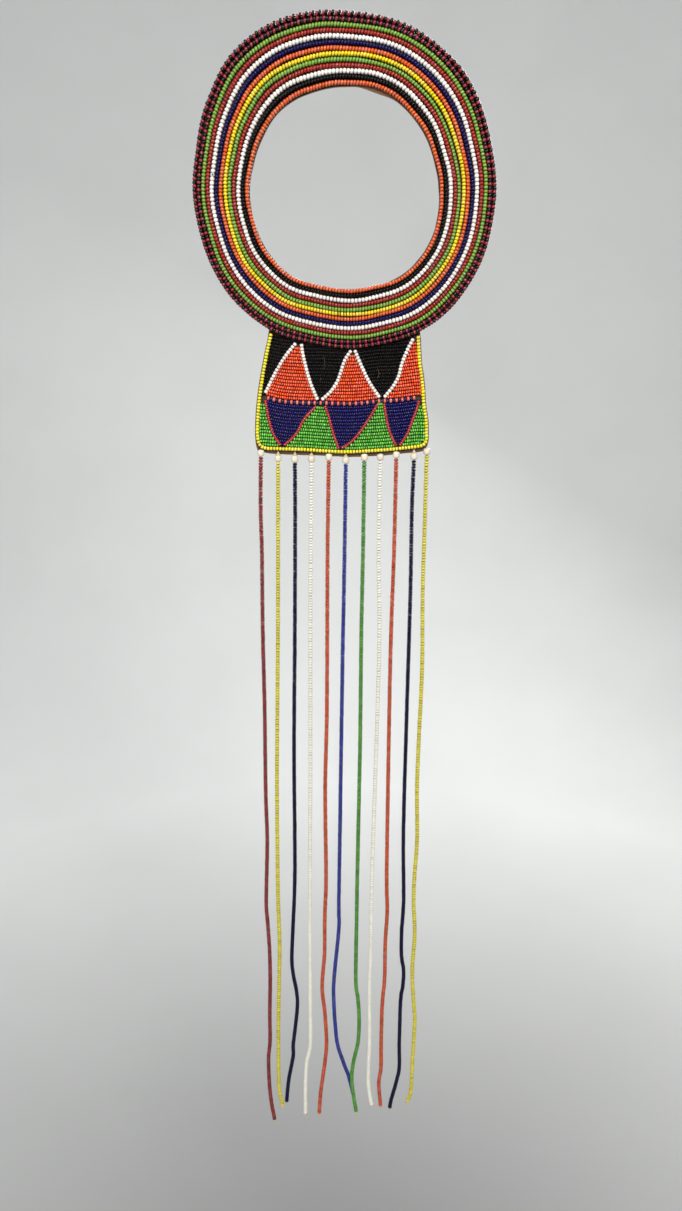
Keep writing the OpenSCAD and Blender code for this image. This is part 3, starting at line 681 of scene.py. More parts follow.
def glass_group():
    """Pressed glass: each bead has its own shade and polish, with faint streaks over the surface,
    and painted shade darkens it towards its hole and its ends, where neighbouring beads meet."""
    if "Bead glass" in bpy.data.node_groups:
        return bpy.data.node_groups["Bead glass"]
    tree, given, made = new_group("Bead glass", ["Colour", "Other colour"], [
        "Tint", "Swap", "Inner", "Shade spread", "Hole shade"])
    base = mixed(tree, given["Swap"], given["Colour"], given["Other colour"])
    spread = maths(tree, "MULTIPLY", maths(tree, "SUBTRACT", given["Tint"], 0.5),
                   given["Shade spread"])
    second, third = (maths(tree, "FRACT", maths(tree, "MULTIPLY", given["Tint"], times))
                     for times in (7.31, 23.7))
    shaded = add_node(tree, "ShaderNodeHueSaturation", {
        "Hue": ranged(tree, second, 0.496, 0.504),
        "Saturation": ranged(tree, third, 0.93, 1.03),
        "Value": maths(tree, "ADD", spread, 1.0), "Color": base}).outputs["Color"]
    streak = noise(tree, 1400, 3.0)
    worn = toned(tree, shaded, ranged(tree, streak, 0.88, 1.06, 0.3, 0.7))
    # Painted shade: darker towards the hole and the ends where beads meet
    hole = maths(tree, "MULTIPLY", given["Inner"], given["Hole shade"])
    polish = maths(tree, "ADD", ranged(tree, third, 0.1, 0.24),
                   ranged(tree, streak, 0.0, 0.08, 0.4, 0.8))
    return finished(tree, made, mixed(tree, hole, worn, HOLE_PAINTED_SHADE), polish,
                    noise(tree, 2600, 1.0))


def hide_group():
    """Leather: pebbled grain over soft blotches, a fibrous cut edge and a napped back, and
    painted shade that darkens it where beads cover it."""
    if "Hide grain" in bpy.data.node_groups:
        return bpy.data.node_groups["Hide grain"]
    tree, given, made = new_group("Hide grain", ["Colour", "Cut colour"], [
        "Cut", "Nap", "Cover"])
    pebble = noise(tree, 1100, kind="ShaderNodeTexVoronoi")
    fibre = noise(tree, 2400, 4.0)
    grained = toned(tree, given["Colour"], ranged(tree, noise(tree, 45, 4.0), 0.7, 1.3, 0.3, 0.7))
    grained = toned(tree, grained, ranged(tree, pebble, 0.7, 1.12, 0.1, 0.6))
    napped = toned(tree, mixed(tree, 0.45, grained, given["Cut colour"]),
                   ranged(tree, fibre, 0.75, 1.2, 0.3, 0.7))
    faced = mixed(tree, given["Nap"], grained, napped)
    edge = toned(tree, given["Cut colour"], ranged(tree, fibre, 0.6, 1.2, 0.3, 0.7))
    bare = mixed(tree, given["Cut"], faced, edge)
    # Painted shade on the leather where beads cover it
    painted_shade_under_beads = mixed(tree, given["Cover"], bare, toned(tree, bare, COVER_PAINTED_SHADE))
    rough = maths(tree, "ADD", ranged(tree, given["Nap"], 0.5, 0.85),
                  ranged(tree, pebble, -0.05, 0.1))
    relief = maths(tree, "ADD", maths(tree, "MULTIPLY", pebble, ranged(
        tree, given["Nap"], 1.0, 0.15)), maths(tree, "MULTIPLY", fibre, 0.5))
    return finished(tree, made, painted_shade_under_beads, rough, relief)


def ply_group():
    """Twisted thread: plies that wind round as the distance along it grows."""
    if "Thread plies" in bpy.data.node_groups:
        return bpy.data.node_groups["Thread plies"]
    tree, given, made = new_group("Thread plies", ["Colour"], ["Along", "Around"])
    wound = maths(tree, "ADD", maths(tree, "MULTIPLY", given["Along"], 1.1), given["Around"])
    ply = maths(tree, "PINGPONG", maths(tree, "MULTIPLY", wound, 2.0), 1.0)
    fuzz = noise(tree, 3500, 3.0)
    shade = maths(tree, "MULTIPLY", ranged(tree, ply, 0.62, 1.05),
                  ranged(tree, fuzz, 0.8, 1.1, 0.3, 0.7))
    relief = maths(tree, "ADD", ply, maths(tree, "MULTIPLY", fuzz, 0.4))
    return finished(tree, made, toned(tree, given["Colour"], shade),
                    ranged(tree, fuzz, 0.75, 0.95), relief)


def dressed(name, group, values, bump, depth):
    """A material whose colour, roughness and bump come from a node group, and the shader
    that the caller sets the rest on. A value that is a word names a value kept on the
    piece's points."""
    material = bpy.data.materials.new(name)
    material.use_nodes = True
    tree = material.node_tree
    shader = tree.nodes["Principled BSDF"]
    look = add_node(tree, "ShaderNodeGroup", node_tree=group)
    for key, value in values.items():
        if isinstance(value, str):
            kept = add_node(tree, "ShaderNodeAttribute", attribute_name=value)
            tree.links.new(kept.outputs["Fac"], look.inputs[key])
        else:
            look.inputs[key].default_value = value
    tree.links.new(look.outputs["Color"], shader.inputs["Base Color"])
    tree.links.new(look.outputs["Roughness"], shader.inputs["Roughness"])
    raised = add_node(tree, "ShaderNodeBump", {
        "Strength": bump, "Distance": depth, "Height": look.outputs["Height"]})
    tree.links.new(raised.outputs["Normal"], shader.inputs["Normal"])
    return material, shader


def glass(name, context, other=None):
    """The opaque glossy glass of one colour of bead, or of two by turns."""
    title = f"{name} and {other} glass" if other else f"{name} glass"
    if title in bpy.data.materials:
        return bpy.data.materials[title]
    # hole is the strength of the painted shade towards the hole and the bead's ends
    spread, hole, mirror = (
        table.get(name, table[None]) for table in (SHADE_SPREAD, HOLE_SHADE, MIRROR))
    colours = context.scene.collar_colours
    material, shader = dressed(title, glass_group(), {
        "Colour": (*getattr(colours, name), 1),
        "Other colour": (*getattr(colours, other or name), 1),
        "Tint": "tint", "Swap": "swap", "Inner": "inner", "Shade spread": spread,
        "Hole shade": hole}, bump=0.12, depth=0.0001)
    shader.inputs["Specular IOR Level"].default_value = mirror
    return material


def leather(context):
    """The brown hide of the ring and panel."""
    if "collar hide" in bpy.data.materials:
        return bpy.data.materials["collar hide"]
    colours = context.scene.collar_colours
    material, shader = dressed("collar hide", hide_group(), {
        "Colour": (*colours.hide, 1), "Cut colour": (*colours.cut, 1), "Cut": "cut",
        "Nap": "nap", "Cover": "cover"}, bump=0.55, depth=0.0003)
    shader.inputs["Specular IOR Level"].default_value = 0.35
    return material


def cotton(context):
    """The waxed cotton of the threads, knots and stitches."""
    if "cotton thread" in bpy.data.materials:
        return bpy.data.materials["cotton thread"]
    colours = context.scene.collar_colours
    material, shader = dressed("cotton thread", ply_group(), {
        "Colour": (*colours.thread, 1), "Along": "tint", "Around": "swap"},
        bump=0.6, depth=0.0001)
    shader.inputs["Sheen Weight"].default_value = 0.2
    return material


def leather_section(inner, outer, half, round_w, flat_steps=6, arc_steps=5):
    """Loop of radius and depth round a strip of leather: flat faces joined by half ellipses
    round_w wide and half the thickness deep, front face first. The masks with it mark the cut
    edge, the napped back and the front that beads cover, which gets painted shade."""
    flat = np.linspace(0, 1, flat_steps)
    arc = np.linspace(-np.pi / 2, np.pi / 2, arc_steps + 2)[1:-1]
    span = (outer - inner - 2 * round_w)[:, None]
    front_r = inner[:, None] + round_w + span * flat
    outer_r = outer[:, None] - round_w + round_w * np.cos(arc)
    inner_r = inner[:, None] + round_w - round_w * np.cos(arc)
    radius = np.hstack([front_r, outer_r, front_r[:, ::-1], inner_r])
    ones = np.ones(flat_steps)
    depth = half * np.concatenate([-ones, np.sin(arc), ones, -np.sin(arc)])
    cut = np.concatenate([0 * ones, np.cos(arc), 0 * ones, np.cos(arc)])
    nap = (depth > 0.4 * half).astype(float)
    # Mask of the front that beads cover, where shade is painted
    cover = np.clip((-depth / half - 0.5) * 4, 0, 1)
    return radius, depth, cut, nap, cover


def tongue(angle, sizes):
    """Extra width of the leather inside the first row: a cosine squared hump."""
    u = np.clip((angle - TONGUE_AT) / TONGUE_SPAN, -1, 1)
    return sizes.tongue_w * np.cos(np.pi / 2 * u) ** 2


class COLLAR_OT_ring_leather(bpy.types.Operator):
    """Makes the dished leather ring that carries the rows of beads"""

    bl_idname = "collar.ring_leather"
    bl_label = "Ring leather"

    def execute(self, context):
        sizes = context.scene.collar_sizes
        count, knots = 300, 60
        uneven, round_w, fade = 0.1 * MM, 0.6 * MM, 0.8 * MM
        angle = np.arange(count) * 360 / count
        unevenness = np.append(seeded("ring leather").normal(0, uneven, knots), 0)
        ripple = np.interp(angle, np.linspace(0, 360, knots + 1), unevenness)
        hump = tongue(angle, sizes)
        inner = row_radius(0, angle, sizes) - sizes.seed_d / 2 - sizes.lip_w - hump + ripple
        outer = row_radius(len(ROWS) - 1, angle, sizes) + sizes.rim_w
        radius, depth, cut, nap, cover = leather_section(
            inner, outer, sizes.ring_t / 2, round_w)
        edge = (np.arange(len(cut)) == 0) | (cut > 0)
        # No painted shade on the tongue where it shows past the beads
        bared = np.clip(1 - hump[:, None] / fade * edge, 0, 1)
        skin = {
            "points": ring_point(angle[:, None], radius, depth[None], sizes).reshape(-1, 3),
            "quads": grid_quads(count, radius.shape[1], wrap_rows=True),
            "cut": np.tile(cut, count), "nap": np.tile(nap, count),
            "cover": (cover * bared).ravel(),
        }
        add_piece("ring_hide", [skin], [leather(context)], ["ring_leather"],
                  HIDE_VALUES)
        return {"FINISHED"}


def row_steps(index, grid, sizes):
    """Lengths of the steps between grid angles along a row's middle."""
    route = ring_point(grid, row_radius(index, grid, sizes), 0.0, sizes)
    return np.linalg.norm(np.diff(route, axis=0), axis=1)


def ring_string(index, sizes):
    """Angles and spacing of the beads of a row. Beads lie closer at the ring's bottom
    and top than at its sides: the count is the sum of each step over its local pitch.
    The last row is counted like the one before it, plus the beads that it gains."""
    last, tone = index == len(ROWS) - 1, ROWS[index][1]
    grid = np.linspace(0, 360, 1441)
    mean, swing = WHITE_PITCH if tone == "white" else SEED_PITCH
    middle = np.radians((grid[1:] + grid[:-1]) / 2)
    local = (mean - swing * np.cos(2 * middle)) * MM
    tally = np.concatenate([[0], np.cumsum(row_steps(index - last, grid, sizes) / local)])
    count = 2 * round(tally[-1] / 2) if tone == "edge" else round(tally[-1])
    tally *= count / tally[-1]
    if last:
        tally, count = tally + np.interp(grid, *EDGE_LEAD), count + EDGE_LEAD[1][-1]
    angle = np.interp(np.arange(count + 1), tally, grid)
    place = np.interp(np.arange(count) + 0.5, tally, grid)
    along = np.concatenate([[0], np.cumsum(row_steps(index, grid, sizes))])
    return place, np.diff(np.interp(angle, grid, along))


def wavering(turn, own):
    """How far a row strays from its circle at turns round the ring: the sines of its own
    waves, each with its own start, and of the waves that all rows share."""
    strays = [sum(np.sin(waves * turn + start) for waves, start in zip(OWN_WAVES, own)),
              sum(np.sin(waves * turn + start) for waves, start in SHARED_WAVES)]
    return sum(height * MM * stray for height, stray in zip(WAVE_HEIGHTS, strays))


class COLLAR_OT_ring_rows(bpy.types.Operator):
    """Sews the thirteen concentric rows of beads on the ring"""

    bl_idname = "collar.ring_rows"
    bl_label = "Ring rows"

    def execute(self, context):
        sizes = context.scene.collar_sizes
        for index, (node, tone, slot) in enumerate(ROWS):
            rng = seeded(node)
            angle, step = ring_string(index, sizes)
            band = rim_shape(angle, sizes)[1]
            spread = np.clip((band / sizes.band_w - 1.0) / BAND_SPREAD, 0, 1)
            width = row_width(index, sizes) * BEAD_SNUG * (1 + BEAD_GROWTH * spread)
            own, turn = rng.random(3) * 2 * np.pi, np.radians(angle)
            radius = row_radius(index, angle, sizes) + wavering(turn, own)
            depth = -sizes.ring_t / 2 - sizes.seat - width / 2
            swap = np.arange(len(angle)) % 2 if tone == "edge" else 0.0
            if index == SQUEEZED_ROW:
                near = np.clip(1 - np.abs(angle - SQUEEZE_AT) / SQUEEZE_SPAN, 0, 1) ** 0.5
                width = width * (1 - SQUEEZE * near)
                radius = radius - SQUEEZE_IN * MM * near
            if index == len(ROWS) - 1:
                pink, black = EDGE_STAGGER
                radius = radius + np.where(swap > 0, black, pink) * MM * np.clip(
                    -np.cos(turn), 0, 1)
            place = ring_point(angle, radius, depth, sizes)
            axis = row_axis(index, angle, depth, sizes)
            lean = np.radians(np.interp(angle, *BEAD_LEAN)
                              + LEAN_SWING * np.sin(3 * turn + own[0]))[:, None]
            outward = np.cross(axis, [0.0, 1.0, 0.0])
            axis = unit(axis * np.cos(lean) - outward * np.sin(lean))
            for row, at, share in SHORT_BEADS:
                if row == index:
                    step[np.argmin(np.abs(angle - at))] *= share
            row, at, hole, share = TURNED_BEAD
            if row == index:
                bead = np.argmin(np.abs(angle - at))
                axis[bead] = unit(np.array(hole))
                step[bead] *= share
            skin = sewn_beads(place, axis, step, width, rng, swap=swap)
            pair = ("pink", context, "black") if tone == "edge" else (tone, context)
            add_beads(node, [skin], glass(*pair))
        return {"FINISHED"}


def patch(left, right, top, bottom, u, v):
    """Coons patch between four edges, as points of x and z: the blend of left and right
    plus the blend of top and bottom less the blend of the corners."""
    le, ri, to, bo = (point_at(edge, t * arc_of(edge)[-1])
                      for edge, t in ((left, v), (right, v), (top, u), (bottom, u)))
    u, v = u[None, :, None], v[:, None, None]
    corners = ((1 - u) * (1 - v) * to[0] + u * (1 - v) * to[-1]
               + (1 - u) * v * bo[0] + u * v * bo[-1])
    return ((1 - u) * le[:, None] + u * ri[:, None] + (1 - v) * to[None] + v * bo[None]
            - corners)


def edge_steps(count, near):
    """Parameters from 0 to 1 that crowd close to both ends to round the edges."""
    start = near * np.array([0, 0.2, 0.5, 0.8])
    return np.concatenate([start, np.linspace(near, 1 - near, count), 1 - start[::-1]])


class COLLAR_OT_panel_leather(bpy.types.Operator):
    """Makes the panel's leather, with rounded edges and a hem cut by hand"""

    bl_idname = "collar.panel_leather"
    bl_label = "Panel leather"

    def execute(self, context):
        sizes = context.scene.collar_sizes
        u, v = edge_steps(60, ROUND_SHARE[0]), edge_steps(44, ROUND_SHARE[1])
        hem = smooth_route(LEATHER_HEM)
        knots = 40
        nicks = (seeded("panel leather").normal(0, HEM_NICK, knots)
                 * np.sin(np.linspace(0, np.pi, knots)))
        hem[:, 1] += np.interp(np.linspace(0, 1, len(hem)), np.linspace(0, 1, knots), nicks)
        flat = patch(smooth_route(LEATHER_LEFT), smooth_route(LEATHER_RIGHT),
                     smooth_route(LEATHER_TOP), hem, u, v) * MM
        side, end = np.minimum(u, 1 - u)[None, :], np.minimum(v, 1 - v)[:, None]
        reach = np.minimum(side / ROUND_SHARE[0], end / ROUND_SHARE[1])
        round_off = np.sqrt(1 - (1 - np.clip(reach, 0, 1)) ** 2)
        middle = panel_depth(sizes) + sizes.panel_t / 2
        front, back = (
            np.stack([flat[..., 0], middle + way * sizes.panel_t / 2 * round_off,
                      flat[..., 1]], axis=-1).reshape(-1, 3) for way in (-1, 1))
        # The two sheets share the points of their border, where the rounding is complete
        own = (round_off != 0).ravel()
        count = len(own)
        twin = np.where(own, count + np.cumsum(own) - 1, np.arange(count))
        quads = grid_quads(*round_off.shape, wrap_columns=False)
        cut = 1 - round_off.ravel()
        # Painted shade under the beads, none where the leather shows beside them at the sides and
        # hem
        cover = np.clip(np.minimum(side / BARE_SHARE[0], (1 - v)[:, None] / BARE_SHARE[1])
                        .ravel() ** 4, 0, 1)
        skin = {
            "points": np.vstack([front, back[own]]),
            "quads": np.vstack([quads[:, ::-1], twin[quads]]),
            "cut": np.concatenate([cut, cut[own]]),
            "nap": np.repeat([0.0, 1.0], [count, own.sum()]),
            "cover": np.concatenate([cover, np.zeros(own.sum())]),
        }
        add_piece("panel_hide", [skin], [leather(context)], ["panel_leather"],
                  HIDE_VALUES)
        return {"FINISHED"}


def string_on_panel(points, width, pitch, sizes, rng, swap=False, past=0.0):
    """Beads strung along a route on the panel and a little past its ends, in mm."""
    depth = panel_depth(sizes) - sizes.seat - width / 2
    route = lengthened(smooth_route(on_panel(points, depth)), past * MM, past * MM)
    place, axis, step = strung(route, pitch * MM)
    turns = np.arange(len(place)) % 2 if swap else 0.0
    return sewn_beads(place, axis, step, width, rng, swap=turns)


class COLLAR_OT_panel_strings(bpy.types.Operator):
    """Strings the panel's yellow border, white and red outlines and belt"""

    bl_idname = "collar.panel_strings"
    bl_label = "Panel strings"

    def execute(self, context):
        sizes = context.scene.collar_sizes
        border = string_on_panel(BORDER, sizes.seed_d, BORDER_PITCH, sizes,
                                 seeded("border_string"), past=BORDER_PAST)
        add_piece("border_beads", [border], [glass("primrose", context)],
                  ["border_string"])
        belt = string_on_panel(BELT, sizes.belt_d, BELT_PITCH, sizes,
                               seeded("belt_string"), swap=True)
        add_piece("belt_beads", [belt], [glass("coral", context, "navy")], ["belt_string"])
        for i, route in enumerate(WHITE_STRINGS):
            node = f"white_string_{i + 1}"
            skin = string_on_panel(route, sizes.seed_d, WHITE_STRING_PITCH, sizes,
                                   seeded(node), past=STRING_PAST)
            add_beads(node, [skin], glass("white", context))
        for i, arms in enumerate(RED_ARMS):
            node = f"red_string_{i + 1}"
            rng = seeded(node)
            skins = [string_on_panel(arm, sizes.fine_d, RED_STRING_PITCH, sizes, rng,
                                     past=STRING_PAST) for arm in arms]
            add_beads(node, skins, glass("rose", context))
        return {"FINISHED"}


def field_outlines():
    """Rough outlines of the panel's fields in x and z, along the strings' middles."""
    w, (v1, v2, v3), b = WHITE_STRINGS, RED_ARMS, BORDER
    return {
        "black_field_1": [*b[:3], (-64.2, -220.5), *w[0][::-1], (-34.6, -179.6),
                          (-34.6, -160), (-55, -160)],
        "black_field_2": [(-34.6, -179.6), *w[1], (-17.7, -225), *w[2][::-1],
                          (7.3, -184.4), (7.3, -160), (-34.6, -160)],
        "black_field_3": [(7.3, -184.4), *w[3], (30.4, -223), *w[4][::-1],
                          (52.5, -160), (7.3, -160)],
        "orange_field_1": [*w[0], (-59.4, -221), *BELT[1:4], (-20.1, -224.8), *w[1][::-1]],
        "orange_field_2": [*w[2], (-15.3, -224.8), *BELT[5:9], (27.7, -223), *w[3][::-1]],
        "orange_field_3": [*w[4], (33, -222.7), *BELT[10:], (62.3, -219), *b[20:],
                           (56.2, -177), (54, -179)],
        "navy_field_1": [*v1[0], (-49, -259.5), (-45, -259.5), *v1[1][::-1],
                         (-21.7, -224.8), *BELT[3:0:-1], (-59.8, -221)],
        "navy_field_2": [*v2[0], *v2[1][::-1], (26.2, -223.1), *BELT[8:4:-1],
                         (-13.3, -224.9)],
        "navy_field_3": [*v3[0], (41.8, -259), (45.4, -259), *v3[1][::-1],
                         (58.7, -220), *BELT[11:9:-1], (32.3, -222.7)],
        "green_field_1": [(-65.1, -226), (-59.5, -226), *v1[0][1:], (-49.4, -260.1),
                          *b[7:3:-1]],
        "green_field_2": [(-17.5, -224.8), *v1[1], (-44.4, -260.2), *b[9:11],
                          (-3.5, -261.8), *v2[0][::-1]],
        "green_field_3": [(29.3, -222.9), *v2[1], (0.7, -261.8), *b[11:13],
                          (41.4, -259.3), *v3[0][::-1]],
        "green_field_4": [(58.3, -225.8), *v3[1][1:], (45.8, -259), *b[14:20]],
    }


def inside(points, outline):
    """Whether points of x and z lie inside an outline: a line from each of them to the
    right crosses the outline an odd number of times."""
    a = np.asarray(outline, float)
    b = np.roll(a, -1, axis=0)
    x, z = points[:, :1], points[:, 1:]
    spans = (a[:, 1] > z) != (b[:, 1] > z)
    rise = np.where(b[:, 1] == a[:, 1], 1, b[:, 1] - a[:, 1])
    cross = a[:, 0] + (z - a[:, 1]) * (b[:, 0] - a[:, 0]) / rise
    return (spans & (x < cross)).sum(axis=1) % 2 == 1


def panel_clearance(points, sizes):
    """Least distance in mm from points of x and z to the strings' surfaces and the rim,
    which lies a little outside the middle of the ring's last row."""
    strings = [(BORDER, sizes.seed_d), (BELT, sizes.belt_d)]
    strings += [(route, sizes.seed_d) for route in WHITE_STRINGS]
    strings += [(arm, sizes.fine_d) for arms in RED_ARMS for arm in arms]
    least = np.full(len(points), np.inf)
    for route, width in strings:
        dense = smooth_route(route, 16)
        gap = np.linalg.norm(points[:, None] - dense[None], axis=2).min(axis=1)
        least = np.minimum(least, gap - width / 2 / MM)
    centre = -sizes.neck_d / 2 / MM
    angle = np.degrees(np.arctan2(-points[:, 0], centre - points[:, 1])) % 360
    radius = np.hypot(points[:, 0], points[:, 1] - centre)
    rim = row_radius(len(ROWS) - 1, angle, sizes) / MM + RIM_ROOM
    return np.minimum(least, radius - rim)


def field_rows(name, outline, sizes):
    """Rows of small beads that fill a field. A row is the belt's line, or the bottom
    border's for green, moved up or down by whole steps, cut where it leaves the field."""
    green = name.startswith("green")
    guide = smooth_route(BORDER[7:15] if green else BELT)
    guide_d = (sizes.seed_d if green else sizes.belt_d) / MM
    way = -1 if name.startswith("navy") else 1
    fine = sizes.fine_d / MM
    x = np.arange(-FIELD_REACH, FIELD_REACH, FIELD_STEP)
    level = np.interp(x, guide[:, 0], guide[:, 1])
    rows = []
    for k in range(FIELD_ROWS):
        z = level + way * (guide_d / 2 + fine / 2 + FIELD_START + FIELD_ROW * k)
        points = np.stack([x, z], axis=-1)
        free = inside(points, outline)
        if not free.any():
            continue
        free[free] = panel_clearance(points[free], sizes) > FIELD_ROOM * fine
        ends = np.flatnonzero(np.diff(np.concatenate([[0], free.astype(int), [0]])))
        for start, stop in ends.reshape(-1, 2):
            run = points[start:stop]
            if len(run) < 3:
                continue
            total = arc_of(run)[-1]
            count = int(round(total / FIELD_PITCH)) + 1
            s = np.linspace(0, total, count) if count > 1 else np.array([total / 2])
            step = total / (count - 1) if count > 1 else FIELD_PITCH
            along = point_at(run, s + 0.2) - point_at(run, s - 0.2)
            rows.append((point_at(run, s), along, np.full(count, step)))
    place, axis, step = (np.concatenate(part) for part in zip(*rows))
    depth = panel_depth(sizes) - sizes.seat - sizes.fine_d / 2
    axis = unit(np.stack([axis[:, 0], 0 * axis[:, 0], axis[:, 1]], axis=-1))
    return on_panel(place, depth), axis, np.minimum(step, FIELD_BEAD) * MM


class COLLAR_OT_panel_fields(bpy.types.Operator):
    """Fills the panel's triangles with rows of small beads"""

    bl_idname = "collar.panel_fields"
    bl_label = "Panel fields"

    def execute(self, context):
        sizes = context.scene.collar_sizes
        for node, outline in field_outlines().items():
            tone = node.split("_")[0]
            place, axis, step = field_rows(node, outline, sizes)
            skin = sewn_beads(place, axis, step, sizes.fine_d * FIELD_SNUG, seeded(node),
                              ROUND_SECTION, SEED_INNER, sides=8, fill=0.92, play=0.07)
            add_beads(node, [skin], glass(FIELD_GLASS.get(tone, tone), context))
        return {"FINISHED"}


class COLLAR_OT_head_beads(bpy.types.Operator):
    """Makes the cream beads at the heads of the strands"""

    bl_idname = "collar.head_beads"
    bl_label = "Head beads"

    def execute(self, context):
        sizes = context.scene.collar_sizes
        for i, (x, z, _) in enumerate(HEADS):
            node = f"head_bead_{i + 1:02d}"
            rng = seeded(node)
            place = on_panel([(x, z)], strand_depth(sizes))
            tilt = [rng.normal(0, far) for far in HEAD_TILT]
            height, width = (size * rng.normal(1, play) for size, play in zip(
                (sizes.head_h, sizes.head_d), HEAD_PLAY))
            skin = bead_skins(place, unit(np.array([[*tilt, 1.0]])), height, width,
                              HEAD_SECTION, HEAD_INNER, HEAD_SIDES, rng)
            add_piece(f"{node}_glass", [skin], [glass("cream", context)], [node])
        return {"FINISHED"}


def knot_skins(tip, down, width, ends, sizes, rng):
    """The knot that ends a strand, as a lumpy short tube, and its loose thread ends."""
    steps = np.linspace(0, 1, 9)
    side = np.cross(down, [0.0, 1.0, 0.0])
    route = tip + down * (steps * KNOT_LENGTH * MM)[:, None]
    route = route + side * (0.15 * MM * np.sin(steps * 7))[:, None]
    swell = np.sin(np.clip((steps - 0.2) / 0.75, 0, 1) * np.pi)
    radii = sizes.thread_d / 2 + (width * MM / 2 - sizes.thread_d / 2) * swell
    skins = [tube_skin(route, radii * (1 + 0.12 * np.sin(steps * 17)), 8)]
    for lean in END_LEANS if ends else ():
        bend = np.linspace(0, 1, 6)[:, None]
        start = tip + down * ENDS_FROM * MM
        path = start + ends * MM * (down * bend + side * lean * bend**1.5
                                    + np.array([0, rng.normal(0, 0.2), 0]) * bend)
        skins.append(tube_skin(path, np.full(len(path), END_RADIUS * MM), 4))
    return skins


def neck_thread(x, z, shows, start, sizes):
    """Route and radii of a strand's thread down to the first bead: through the head bead
    and, where it shows, from the panel's face over its top, all in metres."""
    depth, top = strand_depth(sizes), z + sizes.head_h / 2
    route = [(x, depth, z), (x, depth, start)]
    if not shows:
        return ([(x, depth, top + HEAD_GAP * MM), *route],
                np.array([0.55, 0.5, 0.5]) * sizes.thread_d)
    hem = np.array(BORDER[7:15]) * MM
    anchor = np.interp(x, hem[:, 0], hem[:, 1]) - 2 * MM
    face = panel_depth(sizes) - 0.5 * sizes.thread_d
    return ([(x, face, anchor),
             (x, (face + depth) / 2 - 0.4 * MM, (anchor + top) / 2 + 0.5 * MM),
             (x, depth, top + 0.7 * MM), (x, depth, top + 0.2 * MM), *route],
            np.array([0.6, 1.1, 2.0, 2.9, 0.5, 0.5]) * sizes.thread_d)


class COLLAR_OT_strands(bpy.types.Operator):
    """Strings the eleven strands on their threads, from the head beads to the knots"""

    bl_idname = "collar.strands"
    bl_label = "Strands"

    def execute(self, context):
        sizes = context.scene.collar_sizes
        depth = strand_depth(sizes)
        for i, (tone, knot, ends, points) in enumerate(STRANDS):
            node = f"strand_{i + 1:02d}"
            rng = seeded(node)
            x, z, shows = HEADS[i]
            x, z = x * MM, z * MM
            start = z - sizes.head_h / 2 - HEAD_GAP * MM
            below = np.asarray(points, float) * MM + [0, depth, 0]
            route = smooth_route(np.vstack([[x, depth, start], below]))
            route = lengthened(route, 0.0, STRAND_PAST * MM)
            place, axis, step = strung(route, sizes.strand_pitch)
            beads = sewn_beads(place, axis, step, sizes.strand_d, rng, ROUND_SECTION,
                               ROUND_INNER, fill=0.98, play=0.08)
            neck, radii = neck_thread(x, z, shows, start, sizes)
            core = point_at(route, np.linspace(0, 1, 90)[1:] * arc_of(route)[-1])
            thread = tube_skin(np.vstack([neck, core]), np.append(
                radii, np.full(len(core), 0.4 * sizes.thread_d)))
            down = unit(route[-1] - route[-4])
            knots = knot_skins(route[-1], down, knot, ends, sizes, rng)
            for skin in [thread, *knots]:
                skin["material"] = 1
            add_piece(f"{node}_beads", [beads, thread, *knots],
                      [glass(STRAND_GLASS[tone], context), cotton(context)], [node])
        return {"FINISHED"}


def stitch_skins(place, axis, length, width, rng, sides=6):
    """Stitches of thread, each thickest at its middle."""
    return bead_skins(place, axis, length, width, STITCH_SECTION,
                      np.zeros(len(STITCH_SECTION)), sides, rng)


